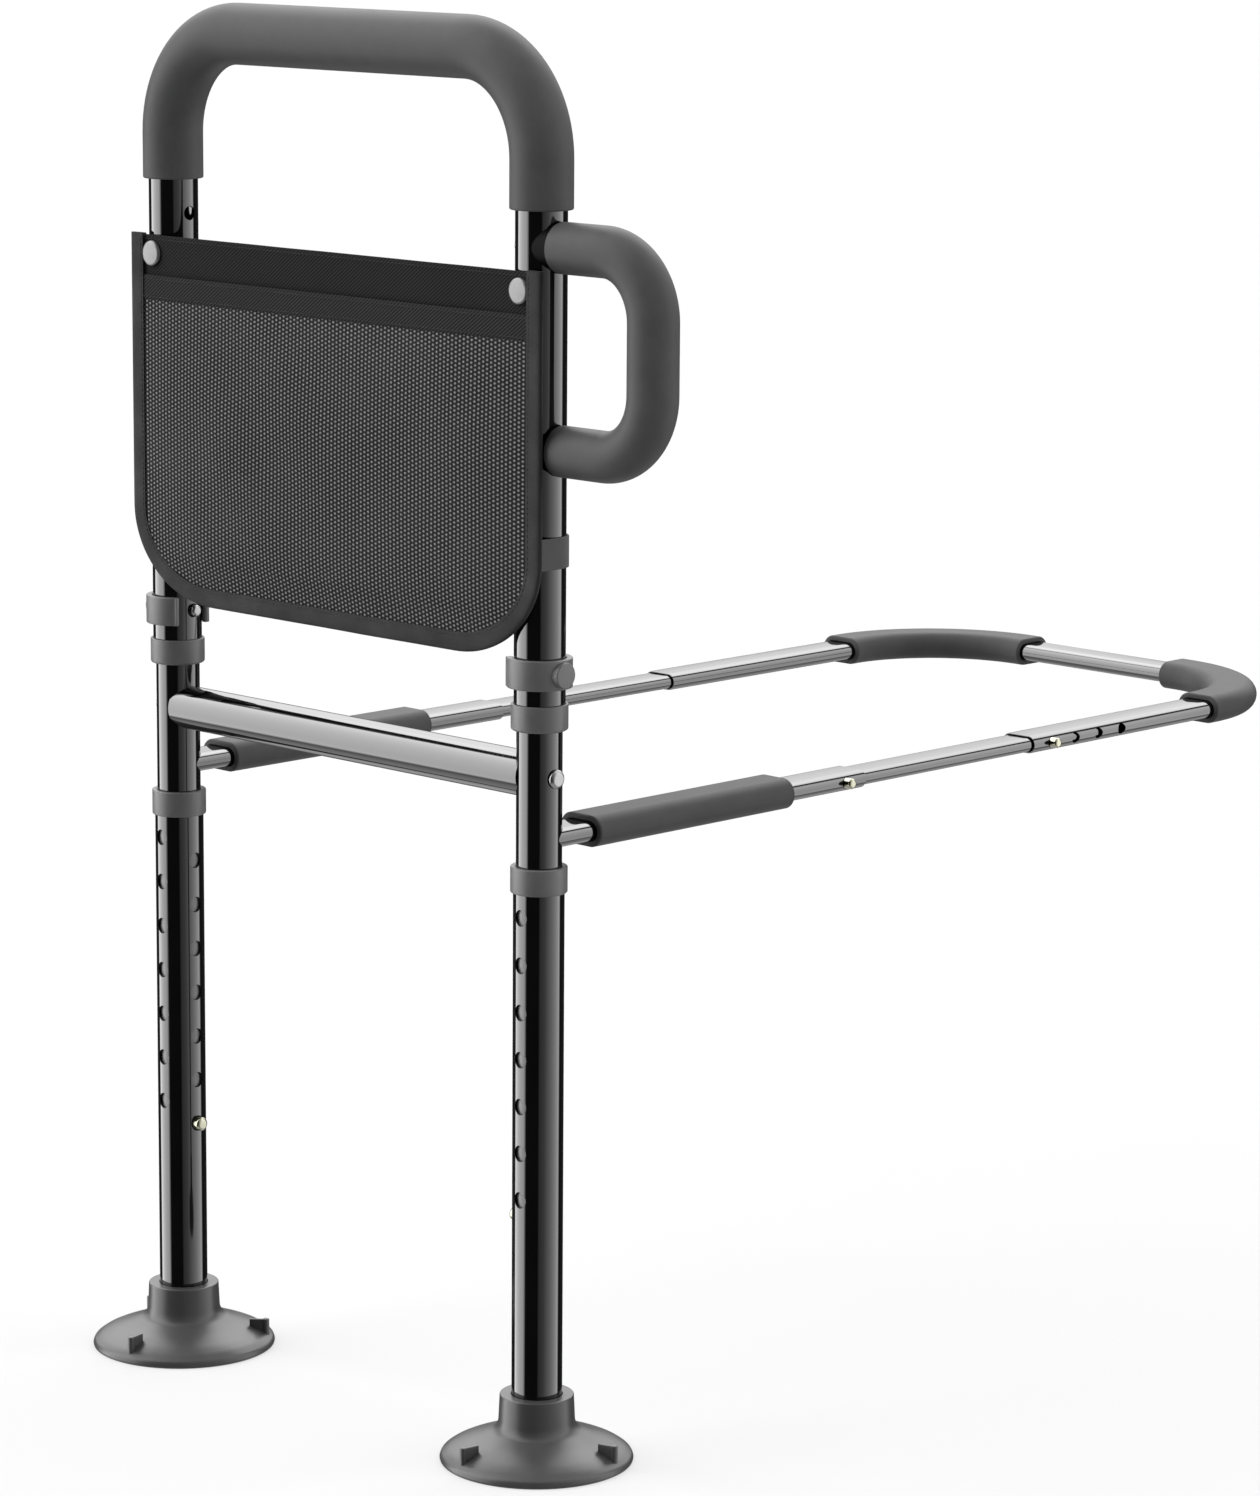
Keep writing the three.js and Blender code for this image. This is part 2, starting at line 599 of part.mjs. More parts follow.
// ---------- quick-release clips ----------
// A C-shaped spring clip, open towards the rail's middle, with the pin's boss on its outer side.
function clipRing(side) {
  const innerR = TUBE_R + 0.5;
  const outerR = 20.4;
  const height = 18.6;
  const half = 0.75 * Math.PI;
  const shape = new THREE.Shape();
  shape.absarc(0, 0, outerR, -half, half, false);
  shape.absarc(0, 0, innerR, half, -half, true);
  shape.closePath();
  const ring = new THREE.ExtrudeGeometry(shape, { depth: height, bevelEnabled: false, curveSegments: 10 });
  const parts = [ring.translate(0, 0, -height / 2)];
  for (const end of [-half, half]) {
    const middleR = (innerR + outerR) / 2 + 0.25;
    const lip = rod(2.3, -height / 2, height / 2, 12);
    parts.push(lip.translate(middleR * Math.cos(end), middleR * Math.sin(end), 0));
  }
  const boss = rod(8, 18, 23.2, 16);
  parts.push(alongX(boss, 1, 0, 0, 0));
  const bore = alongX(rod(4.3, 0, 20.5), 1, 0, 0, 0);
  const clip = cut(join(parts), [bore]);
  return side < 0 ? clip.rotateZ(Math.PI) : clip;
}

function buildClip(side, name) {
  const x = side * UPRIGHT_X;
  addPiece(`clip_${name}`, clipRing(side).translate(x, 0, PIN_Z), plasticGrey());
  const tip = 20.6;
  const pin = turned([
    [0, -20.2], [3.9, -20.2], [3.9, tip - 2.6], [3.3, tip - 1], [1.6, tip - 0.1], [0, tip],
  ], SMALL_ROUND);
  addPiece(`clip_pin_${name}`, alongX(pin, -side, x, 0, PIN_Z), chrome());
}

// ---------- assembly ----------
buildUpperFrame();
buildSideHandle();
buildPouch();
buildCrossbar();
buildLoopEnd();
for (const [side, name] of [[-1, 'left'], [1, 'right']]) {
  buildPost(side, name);
  buildLeg(side, name);
  buildArm(side, name);
  buildClip(side, name);
}

assembly.position.z = -BED_BASE_Z;

export default assembly;
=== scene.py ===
"""Looks of the bed assist rail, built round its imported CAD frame. Metres, +Z up.

X runs along the bed's side, +Y points into the bed, and the origin is on the bed's base, midway
between the uprights. Every smooth piece here stands for the faceted CAD node of the same part.
"""

import math

import bmesh
import bpy
import numpy as np
from mathutils import Matrix, Vector


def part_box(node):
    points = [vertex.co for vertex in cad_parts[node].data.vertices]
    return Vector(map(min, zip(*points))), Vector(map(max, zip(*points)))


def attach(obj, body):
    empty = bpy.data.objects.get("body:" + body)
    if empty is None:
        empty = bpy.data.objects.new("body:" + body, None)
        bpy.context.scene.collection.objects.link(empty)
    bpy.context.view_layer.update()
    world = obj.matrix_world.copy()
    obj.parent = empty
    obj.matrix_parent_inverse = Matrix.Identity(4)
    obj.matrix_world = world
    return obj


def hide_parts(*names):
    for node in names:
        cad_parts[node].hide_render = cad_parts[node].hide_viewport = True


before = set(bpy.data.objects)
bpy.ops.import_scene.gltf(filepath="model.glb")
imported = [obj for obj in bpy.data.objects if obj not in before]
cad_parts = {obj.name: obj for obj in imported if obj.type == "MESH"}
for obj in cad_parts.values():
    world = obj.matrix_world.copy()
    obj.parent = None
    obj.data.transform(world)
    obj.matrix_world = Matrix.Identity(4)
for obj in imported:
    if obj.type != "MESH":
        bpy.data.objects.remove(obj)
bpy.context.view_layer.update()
FLOOR_Z = min(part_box("foot_left")[0].z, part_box("foot_right")[0].z)
MM = 0.001
SIDES = (("left", -1), ("right", 1))


def centre_of(node):
    low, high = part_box(node)
    return (low + high) / 2


def size_of(node):
    low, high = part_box(node)
    return high - low


# ---------- sizes, from the frame where it has them ----------
UPRIGHT_X = centre_of("leg_tube_right").x
TUBE_R = 16 * MM
TUBE_WALL = 1.2 * MM
POST_R = 14.3 * MM
HOLE_R = 4.9 * MM
LOOP_HOLE_R = 3.8 * MM
ARM_Z = centre_of("loop_end_tube").z
GRIP_R = 19.6 * MM
TOP_BEND_R = 65 * MM
TOP_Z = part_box("top_grip_foam")[1].z - GRIP_R
HANDLE_FOAM_R = 15.8 * MM
HANDLE_BEND_R = 40 * MM
HANDLE_UPPER_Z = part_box("side_handle_foam")[1].z - HANDLE_FOAM_R
HANDLE_LOWER_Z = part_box("side_handle_foam")[0].z + HANDLE_FOAM_R
HANDLE_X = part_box("side_handle_foam")[1].x - HANDLE_FOAM_R
LOOP_BEND_R = 95.5 * MM
LOOP_BACK_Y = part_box("corner_sleeve_left")[1].y - 18 * MM
OUTER_OVAL = (28 * MM, 12 * MM)
INNER_OVAL = (25 * MM, 9.6 * MM)
SLEEVE_OVAL = (36 * MM, 20 * MM)
OVAL_WALL = 0.9 * MM
CROSS_HOLE_R = 4.3 * MM  # bolts and locking pins go through these
DRILL = 30 * MM  # how far a hole's cutter reaches from the tube's axis
HEIGHT_PITCH, HEIGHT_HOLES = 30 * MM, 7
FRONT_HOLE_RISE = 15.5 * MM
LENGTH_PITCH, LENGTH_HOLES = 25 * MM, 4
HANDLE_BORE_R = 11.15 * MM
SLEEVE_WALL = 3.8 * MM
# a snap button's flange, stem and dome radius, and its flange's distance from the tube's axis
LEG_BUTTON = (5.9 * MM, 4.6 * MM, 3.4 * MM, 10.1 * MM)
LOOP_BUTTON = (3.9 * MM, 3.5 * MM, 2.8 * MM, 7.6 * MM)


# ---------- meshes ----------
def new_piece(name, verts, faces, body, nodes=(), material=None, angle=35):
    mesh = bpy.data.meshes.new(name)
    mesh.from_pydata([tuple(v) for v in verts], [], faces)
    mesh.update()
    piece = bpy.data.objects.new(name, mesh)
    bpy.context.scene.collection.objects.link(piece)
    outward(mesh)
    smooth(mesh, angle)
    return dress(piece, body, nodes, material)


def dress(piece, body, nodes=(), material=None):
    if material:
        piece.data.materials.clear()
        piece.data.materials.append(material)
    if body:
        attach(piece, body)
    if nodes:
        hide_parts(*nodes)
    return piece


def outward(mesh):
    work = bmesh.new()
    work.from_mesh(mesh)
    bmesh.ops.recalc_face_normals(work, faces=work.faces)
    work.to_mesh(mesh)
    work.free()


def smooth(mesh, angle):
    mesh.polygons.foreach_set("use_smooth", [True] * len(mesh.polygons))
    mesh.set_sharp_from_angle(angle=math.radians(angle))


def rounded(points, radii, steps=4):
    """The closed outline again, with each corner that has a radius turned into an arc."""
    out = []
    n = len(points)
    for i, (p, r) in enumerate(zip(points, radii)):
        p = Vector((p[0], p[1]))
        if not r:
            out.append((p.x, p.y))
            continue
        a = (Vector(points[i - 1]) - p).normalized()
        b = (Vector(points[(i + 1) % n]) - p).normalized()
        half = math.acos(max(-1, min(1, a.dot(b)))) / 2
        reach = min(r / math.tan(half), 0.49 * (Vector(points[i - 1]) - p).length,
                    0.49 * (Vector(points[(i + 1) % n]) - p).length)
        r = reach * math.tan(half)
        centre = p + (a + b).normalized() * (r / math.sin(half))
        start, end = p + a * reach - centre, p + b * reach - centre
        turn = start.angle_signed(end)
        for k in range(steps + 1):
            t = -turn * k / steps
            out.append((centre.x + start.x * math.cos(t) - start.y * math.sin(t),
                        centre.y + start.x * math.sin(t) + start.y * math.cos(t)))
    return out


def lathe(profile, segments=64, closed=True):
    """Vertices and faces of a profile of (radius, z) turned round Z. Points on the axis are poles."""
    verts, faces, rings = [], [], []
    for r, z in profile:
        if r < 1e-7:
            rings.append([len(verts)])
            verts.append((0, 0, z))
            continue
        rings.append(list(range(len(verts), len(verts) + segments)))
        for k in range(segments):
            t = 2 * math.pi * k / segments
            verts.append((r * math.cos(t), r * math.sin(t), z))
    pairs = list(zip(rings, rings[1:] + rings[:1])) if closed else list(zip(rings, rings[1:]))
    for a, b in pairs:
        if len(a) == 1 and len(b) == 1:
            continue
        for k in range(segments):
            m = (k + 1) % segments
            if len(a) == 1:
                faces.append((a[0], b[k], b[m]))
            elif len(b) == 1:
                faces.append((a[k], a[m], b[0]))
            else:
                faces.append((a[k], a[m], b[m], b[k]))
    return verts, faces


def placed(verts, origin=(0, 0, 0), axis=(0, 0, 1)):
    turn = Vector((0, 0, 1)).rotation_difference(Vector(axis)).to_matrix().to_4x4()
    move = Matrix.Translation(Vector(origin)) @ turn
    return [move @ Vector(v) for v in verts]


def turned(name, profile, origin, axis, body, nodes, material, segments=64, angle=35):
    verts, faces = lathe(profile, segments)
    return new_piece(name, placed(verts, origin, axis), faces, body, nodes, material, angle)


def loose_mesh(name, verts, faces):
    """A closed mesh to cut or join another with."""
    mesh = bpy.data.meshes.new(name)
    mesh.from_pydata([tuple(v) for v in verts], [], faces)
    outward(mesh)
    made = bpy.data.objects.new(name, mesh)
    bpy.context.scene.collection.objects.link(made)
    return made


def rod(at, axis, low, high):
    """Stations of a straight tube along axis 0, 1 or 2, with one a millimetre in from each end."""
    direction = tuple(int(i == axis) for i in range(3))
    stations = []
    for along in (low, low + MM, high - MM, high):
        point = list(at)
        point[axis] = along
        stations.append(straight(tuple(point), direction))
    return stations


def straight(point, direction):
    return Vector(point), Vector(direction).normalized()


def bend(centre, a, b, radius, angle0, angle1, steps=24):
    centre, a, b = Vector(centre), Vector(a), Vector(b)
    turn = 1 if angle1 > angle0 else -1
    out = []
    for i in range(steps + 1):
        t = angle0 + (angle1 - angle0) * i / steps
        out.append((centre + radius * (a * math.cos(t) + b * math.sin(t)),
                    turn * (b * math.cos(t) - a * math.sin(t))))
    return out


def section(point, direction, up, half_flat, r, segments):
    """One ring of a tube: round, or a flat oval whose flats lie along direction x up."""
    side = direction.cross(up).normalized()
    ring = []
    for k in range(segments):
        t = 2 * math.pi * (k + 0.5) / segments
        flat = half_flat * (1 if math.cos(t) > 0 else -1)
        ring.append(point + side * (flat + r * math.cos(t)) + up * (r * math.sin(t)))
    return ring


def tube_mesh(stations, up, r, inner_r, half_flat=0.0, edge=0.0, inner_edge=0.0, segments=64):
    """A hollow tube along its stations, with rounded rims at both ends."""
    up = Vector(up)
    (p0, d0), (p1, d1) = stations[0], stations[-1]
    inner_edge = inner_edge or min(edge, (r - inner_r) * 0.45)
    edge = min(edge, (r - inner_r) * 0.55)
    steps = 5 if edge > 0 else 0

    def ring(point, direction, radius):
        return section(point, direction, up, half_flat, radius, segments)

    def rim(point, outward_direction, direction):
        rings = []
        for k in range(steps + 1):
            t = math.pi / 2 * k / max(steps, 1)
            rings.append(ring(point - outward_direction * edge * (1 - math.sin(t)), direction,
                              r - edge * (1 - math.cos(t))))
        for k in range(steps + 1):
            t = math.pi / 2 * (1 - k / max(steps, 1))
            rings.append(ring(point - outward_direction * inner_edge * (1 - math.sin(t)), direction,
                              inner_r + inner_edge * (1 - math.cos(t))))
        return rings

    outer = [ring(p, d, r) for p, d in stations[1:-1]]
    inner = [ring(p, d, inner_r) for p, d in reversed(stations[1:-1])]
    rings = outer + rim(p1, d1, d1) + inner + list(reversed(rim(p0, -d0, d0)))
    verts = [v for one in rings for v in one]
    faces = []
    for i in range(len(rings)):
        a, b = i * segments, (i + 1) % len(rings) * segments
        for k in range(segments):
            m = (k + 1) % segments
            faces.append((a + k, a + m, b + m, b + k))
    return verts, faces


def cutter(r, length, origin, axis, wall_at=None, flare=0.35 * MM, segments=40):
    """A drill along axis from origin, flared where it leaves the surface at wall_at."""
    profile = [(0, -0.5 * MM), (r, -0.5 * MM)]
    if wall_at is not None:
        profile += [(r, wall_at - 0.5 * MM), (r + flare, wall_at + 0.2 * MM)]
        r = r + flare
    profile += [(r, length), (0, length)]
    verts, faces = lathe(profile, segments, closed=False)
    mesh = bpy.data.meshes.new("cutter")
    mesh.from_pydata([tuple(v) for v in placed(verts, origin, axis)], [], faces)
    outward(mesh)
    tool = bpy.data.objects.new("cutter", mesh)
    bpy.context.scene.collection.objects.link(tool)
    return tool


def boolean(piece, tools, operation="DIFFERENCE"):
    for tool in tools:
        change = piece.modifiers.new("cut", "BOOLEAN")
        change.operation = operation
        change.solver = "EXACT"
        change.object = tool
    bpy.context.view_layer.update()
    depsgraph = bpy.context.evaluated_depsgraph_get()
    mesh = bpy.data.meshes.new_from_object(piece.evaluated_get(depsgraph))
    materials = [m for m in piece.data.materials]
    piece.modifiers.clear()
    old = piece.data
    piece.data = mesh
    mesh.name = piece.name
    bpy.data.meshes.remove(old)
    mesh.materials.clear()
    for m in materials:
        mesh.materials.append(m)
    for tool in tools:
        bpy.data.objects.remove(tool)
    return piece


def core_normals(piece, core, r, inner_r, tolerance=0.03 * MM, angle=35):
    """Gives a tube's walls their exact normals: straight away from the nearest point of its core."""
    mesh = piece.data
    smooth(mesh, angle)
    co = np.array([v.co for v in mesh.vertices], float).reshape(-1, 3)
    away = co - core(co)
    distance = np.linalg.norm(away, axis=1)
    field = away / np.maximum(distance, 1e-9)[:, None]
    start = np.zeros(len(mesh.polygons), int)
    total = np.zeros(len(mesh.polygons), int)
    mesh.polygons.foreach_get("loop_start", start)
    mesh.polygons.foreach_get("loop_total", total)
    loop_vert = np.zeros(len(mesh.loops), int)
    mesh.loops.foreach_get("vertex_index", loop_vert)
    normals = np.zeros(len(mesh.loops) * 3)
    mesh.corner_normals.foreach_get("vector", normals)
    normals = normals.reshape(-1, 3)
    for s, n in zip(start, total):
        corners = loop_vert[s:s + n]
        d = distance[corners]
        if (abs(d - r) < tolerance).all():
            normals[s:s + n] = field[corners]
        elif (abs(d - inner_r) < tolerance).all():
            normals[s:s + n] = -field[corners]
    mesh.normals_split_custom_set([tuple(n) for n in normals])
    return piece


def polyline_core(stations, half_flat=0.0, up=(0, 0, 1)):
    """The nearest point of a tube's core: its centreline, or a ribbon for a flat oval."""
    points = np.array([p[:] for p, _ in stations], float)
    side_up = np.array(up, float)

    def nearest(co):
        best = np.full(len(co), np.inf)
        found = np.zeros_like(co)
        sides = np.zeros_like(co)
        for a, b in zip(points, points[1:]):
            d = b - a
            t = np.clip(((co - a) @ d) / max(d @ d, 1e-15), 0, 1)
            q = a + t[:, None] * d
            away = np.linalg.norm(co - q, axis=1)
            closer = away < best - 1e-9
            best[closer] = away[closer]
            found[closer] = q[closer]
            side = np.cross(d, side_up)
            sides[closer] = side / np.linalg.norm(side)
        if half_flat:
            along = np.clip(((co - found) * sides).sum(1), -half_flat, half_flat)
            found = found + along[:, None] * sides
        return found

    return nearest


def make_tube(name, stations, up, r, inner_r, body, nodes, material,
              half_flat=0.0, edge=0.0, inner_edge=0.0, cuts=(), segments=64):
    verts, faces = tube_mesh(stations, up, r, inner_r, half_flat, edge, inner_edge, segments)
    piece = new_piece(name, verts, faces, None, (), material)
    if cuts:
        boolean(piece, list(cuts))
    core_normals(piece, polyline_core(stations, half_flat, up), r, inner_r)
    return dress(piece, body, nodes)


# ---------- materials ----------
def node_material(name):
    material = bpy.data.materials.new(name)
    material.use_nodes = True
    tree = material.node_tree
    tree.nodes.clear()
    output = tree.nodes.new("ShaderNodeOutputMaterial")
    shader = tree.nodes.new("ShaderNodeBsdfPrincipled")
    tree.links.new(shader.outputs[0], output.inputs[0])
    return material, tree, shader


class Nodes:
    """Short ways to add the texture nodes of one material, in its object's own coordinates."""

    def __init__(self, tree):
        self.tree = tree
        self.coordinates = self.add("ShaderNodeTexCoord").outputs["Object"]

    def add(self, kind, **values):
        node = self.tree.nodes.new(kind)
        for key, value in values.items():
            setattr(node, key, value)
        return node

    def put(self, socket, value):
        if isinstance(value, (int, float)):
            socket.default_value = value
        else:
            self.tree.links.new(value, socket)

    def math(self, operation, a, b=0.0, c=0.0):
        node = self.add("ShaderNodeMath", operation=operation)
        for socket, value in zip(node.inputs, (a, b, c)):
            self.put(socket, value)
        return node.outputs[0]

    def noise(self, scale, detail=3.0, roughness=0.55, vector=None):
        node = self.add("ShaderNodeTexNoise")
        node.inputs["Scale"].default_value = scale
        node.inputs["Detail"].default_value = detail
        node.inputs["Roughness"].default_value = roughness
        self.tree.links.new(vector or self.coordinates, node.inputs["Vector"])
        return node.outputs[0]

    def voronoi(self, scale, randomness=1.0):
        node = self.add("ShaderNodeTexVoronoi")
        node.inputs["Scale"].default_value = scale
        node.inputs["Randomness"].default_value = randomness
        self.tree.links.new(self.coordinates, node.inputs["Vector"])
        return node.outputs["Distance"]

    def spread(self, value, low, high, to_low, to_high):
        node = self.add("ShaderNodeMapRange")
        for key, number in zip(("From Min", "From Max", "To Min", "To Max"),
                               (low, high, to_low, to_high)):
            node.inputs[key].default_value = number
        self.tree.links.new(value, node.inputs["Value"])
        return node.outputs[0]

    def ramp(self, value, stops):
        node = self.add("ShaderNodeValToRGB")
        elements = node.color_ramp.elements
        while len(elements) < len(stops):
            elements.new(0.5)
        for element, (at, colour) in zip(elements, stops):
            element.position = at
            element.color = (*colour, 1.0)
        self.tree.links.new(value, node.inputs[0])
        return node.outputs[0]

    def bump(self, height, strength, distance, normal=None):
        node = self.add("ShaderNodeBump")
        node.inputs["Strength"].default_value = strength
        node.inputs["Distance"].default_value = distance
        self.tree.links.new(height, node.inputs["Height"])
        if normal:
            self.tree.links.new(normal, node.inputs["Normal"])
        return node.outputs[0]

    def wave(self, value, pitch):
        """0 to 1 and back once in each pitch, in millimetres."""
        angle = self.math("MULTIPLY", value, 2 * math.pi * 1000 / pitch)
        return self.math("MULTIPLY_ADD", self.math("SINE", angle), 0.5, 0.5)

    def axes(self):
        node = self.add("ShaderNodeSeparateXYZ")
        self.tree.links.new(self.coordinates, node.inputs[0])
        return node.outputs


def grey(level):
    return (level, level, level)


def speckled(name, dark, light, roughness, rough_spread, tone_scale, grain_scale,
             grain_depth, specular, strength):
    """Tone that drifts over the surface, with a fine moulded or cellular grain."""
    material, tree, shader = node_material(name)
    n = Nodes(tree)
    drift = n.noise(tone_scale, 4.0)
    tree.links.new(n.ramp(drift, [(0.3, grey(dark)), (0.7, grey(light))]),
                   shader.inputs["Base Color"])
    grain = n.noise(grain_scale, 3.0, 0.6)
    tree.links.new(n.spread(n.math("ADD", n.math("MULTIPLY", drift, 0.6), n.math("MULTIPLY", grain, 0.4)),
                            0.3, 0.7, roughness - rough_spread, roughness + rough_spread),
                   shader.inputs["Roughness"])
    tree.links.new(n.bump(grain, strength, grain_depth), shader.inputs["Normal"])
    shader.inputs["Specular IOR Level"].default_value = specular
    shader.inputs["IOR"].default_value = 1.5
    return material


def black_gloss():
    """Gloss black paint: faint orange peel, and a slightly duller haze in places."""
    material, tree, shader = node_material("black_gloss_paint")
    n = Nodes(tree)
    peel = n.noise(260, 2.0)
    haze = n.noise(22, 5.0, 0.6)
    tree.links.new(n.ramp(haze, [(0.35, grey(0.0006)), (0.7, grey(0.0012))]),
                   shader.inputs["Base Color"])
    tree.links.new(n.spread(haze, 0.3, 0.75, 0.045, 0.085), shader.inputs["Roughness"])
    tree.links.new(n.bump(peel, 0.05, 0.02 * MM), shader.inputs["Normal"])
    shader.inputs["IOR"].default_value = 1.52
    return material


def recess_shaded_black(shaded_below):
    """The same black on a sliding post, turned to a duller, rougher grey where the leg slides over it:
    painted shade for the post seen down the leg's holes, with faint lengthwise streaks.
    """
    material, tree, shader = node_material("recess_shaded_black_paint")
    n = Nodes(tree)
    haze = n.noise(22, 5.0, 0.6)
    scores = n.add("ShaderNodeTexNoise")
    scores.inputs["Scale"].default_value = 1.0
    scores.inputs["Detail"].default_value = 3.0
    stretch = n.add("ShaderNodeMapping")
    stretch.inputs["Scale"].default_value = (900, 900, 14)
    tree.links.new(n.coordinates, stretch.inputs["Vector"])
    tree.links.new(stretch.outputs[0], scores.inputs["Vector"])
    z = n.axes()[2]
    # painted shade: below the leg's top, where the post shows only down the leg's holes, it turns a duller,
    # rougher grey
    recess_shade = n.spread(z, shaded_below - 4 * MM, shaded_below + 1 * MM, 1.0, 0.0)
    streaked_shade = n.math("MULTIPLY", recess_shade, n.spread(scores.outputs[0], 0.3, 0.7, 0.75, 1.0))
    tone = n.math("ADD", n.math("MULTIPLY", haze, 0.06), n.math("MULTIPLY", streaked_shade, 0.9))
    tree.links.new(n.ramp(tone, [(0.0, grey(0.0004)), (0.06, grey(0.0014)), (1.0, grey(0.022))]),
                   shader.inputs["Base Color"])
    tree.links.new(n.math("ADD", n.spread(haze, 0.3, 0.75, 0.045, 0.085), n.math("MULTIPLY", streaked_shade, 0.42)),
                   shader.inputs["Roughness"])
    tree.links.new(n.bump(scores.outputs[0], 0.08, 0.02 * MM), shader.inputs["Normal"])
    shader.inputs["IOR"].default_value = 1.52
    return material


def foam():
    """Closed-cell foam grip: satin skin with fine pores and faint mottling."""
    material, tree, shader = node_material("foam_grip")
    n = Nodes(tree)
    mottle = n.noise(60, 5.0, 0.6)
    pores = n.voronoi(1500)
    skin = n.noise(900, 2.0)
    tree.links.new(n.ramp(mottle, [(0.3, grey(0.039)), (0.72, grey(0.046))]),
                   shader.inputs["Base Color"])
    tree.links.new(n.spread(mottle, 0.3, 0.7, 0.42, 0.50), shader.inputs["Roughness"])
    height = n.math("ADD", n.math("MULTIPLY", pores, 0.7), n.math("MULTIPLY", skin, 0.6))
    tree.links.new(n.bump(height, 0.12, 0.12 * MM), shader.inputs["Normal"])
    shader.inputs["Specular IOR Level"].default_value = 0.05
    return material


def twill(name, dark, light, pitch=2.3):
    """Twill cloth in the pouch's plane: fine ribs that rise to the right, over a slight drift."""
    material, tree, shader = node_material(name)
    n = Nodes(tree)
    x, _, z = n.axes()
    rib = n.wave(n.math("SUBTRACT", n.math("MULTIPLY", x, 0.72), z), pitch)
    thread = n.wave(n.math("ADD", x, z), 1.1)
    drift = n.noise(35, 4.0)
    fuzz = n.noise(1800, 2.0)
    tone = n.math("ADD", n.math("MULTIPLY", rib, 0.66), n.math("MULTIPLY", thread, 0.10))
    tone = n.math("ADD", tone, n.math("MULTIPLY", n.math("ADD", drift, fuzz), 0.12))
    tree.links.new(n.ramp(tone, [(0.1, grey(dark)), (0.9, grey(light))]), shader.inputs["Base Color"])
    tree.links.new(n.spread(drift, 0.3, 0.7, 0.82, 0.95), shader.inputs["Roughness"])
    tree.links.new(n.bump(n.math("ADD", rib, n.math("MULTIPLY", fuzz, 0.4)), 0.5, 0.12 * MM),
                   shader.inputs["Normal"])
    shader.inputs["Specular IOR Level"].default_value = 0.03
    return material


def pouch_mesh_material():
    """Warp-knit mesh: paler knots in a staggered lattice over the dark cells between them."""
    material, tree, shader = node_material("pouch_mesh_cloth")
    n = Nodes(tree)
    x, _, z = n.axes()
    wobble = n.noise(300, 2.0)
    column, row = 3.36, 2.76
    u = n.math("MULTIPLY", n.math("ADD", x, n.math("MULTIPLY", wobble, 0.0002)), 1000 / (2 * column))
    v = n.math("MULTIPLY", z, 1000 / row)

    def offset(value, shift, pitch):
        within = n.math("FRACT", n.math("ADD", value, shift))
        return n.math("MULTIPLY", n.math("SUBTRACT", within, 0.5), pitch)

    def knot(shift):
        # 50 and 200 keep both sums above zero over the whole pouch
        a = offset(u, shift + 50, 2 * column)
        b = offset(v, shift + 200, row)
        return n.math("SQRT", n.math("ADD", n.math("MULTIPLY", a, n.math("MULTIPLY", a, 0.62)),
                                     n.math("MULTIPLY", b, b)))

    near = n.math("MINIMUM", knot(0.0), knot(0.5))
    mask = n.spread(near, 0.35, 1.35, 1.0, 0.0)
    drift = n.noise(24, 4.0)
    fuzz = n.noise(1500, 2.0)
    tone = n.math("ADD", n.math("MULTIPLY", mask, 0.92),
                  n.math("ADD", n.math("MULTIPLY", drift, 0.015), n.math("MULTIPLY", fuzz, 0.05)))
    tree.links.new(n.ramp(tone, [(0.03, grey(0.0060)), (0.45, grey(0.0170)), (0.95, grey(0.135))]),
                   shader.inputs["Base Color"])
    tree.links.new(n.bump(mask, 0.6, 0.35 * MM), shader.inputs["Normal"])
    tree.links.new(n.spread(drift, 0.3, 0.7, 0.72, 0.88), shader.inputs["Roughness"])
    shader.inputs["Specular IOR Level"].default_value = 0.05
    return material


def tape(name, dark, light, across=1.2):
    """Woven binding or webbing: close ribs with a little fuzz."""
    material, tree, shader = node_material(name)
    n = Nodes(tree)
    x, y, z = n.axes()
    rib = n.wave(z, across)
    end = n.wave(n.math("ADD", x, y), 0.9)
    drift = n.noise(45, 4.0)
    fuzz = n.noise(1500, 2.0)
    tone = n.math("ADD", n.math("MULTIPLY", n.math("MULTIPLY", rib, end), 0.5),
                  n.math("MULTIPLY", n.math("ADD", drift, fuzz), 0.25))
    tree.links.new(n.ramp(tone, [(0.1, grey(dark)), (0.8, grey(light))]), shader.inputs["Base Color"])
    tree.links.new(n.spread(drift, 0.3, 0.7, 0.75, 0.9), shader.inputs["Roughness"])
    tree.links.new(n.bump(n.math("ADD", rib, end), 0.3, 0.08 * MM), shader.inputs["Normal"])
    shader.inputs["Specular IOR Level"].default_value = 0.2
    return material


def bright_metal(name, dark, light, roughness, yellow=0.0):
    """Plated metal: slight tone drift, fine polishing marks and small dull spots."""
    material, tree, shader = node_material(name)
    n = Nodes(tree)
    drift = n.noise(180, 4.0)
    marks = n.noise(2600, 2.0)
    stops = [(at, (level, level * (1 - yellow * 0.06), level * (1 - yellow)))
             for at, level in ((0.3, dark), (0.7, light))]
    tree.links.new(n.ramp(drift, stops), shader.inputs["Base Color"])
    tree.links.new(n.spread(n.math("ADD", drift, marks), 0.7, 1.3, roughness * 0.7, roughness * 1.3),
                   shader.inputs["Roughness"])
    tree.links.new(n.bump(marks, 0.08, 0.03 * MM), shader.inputs["Normal"])
    shader.inputs["Metallic"].default_value = 1.0
    return material


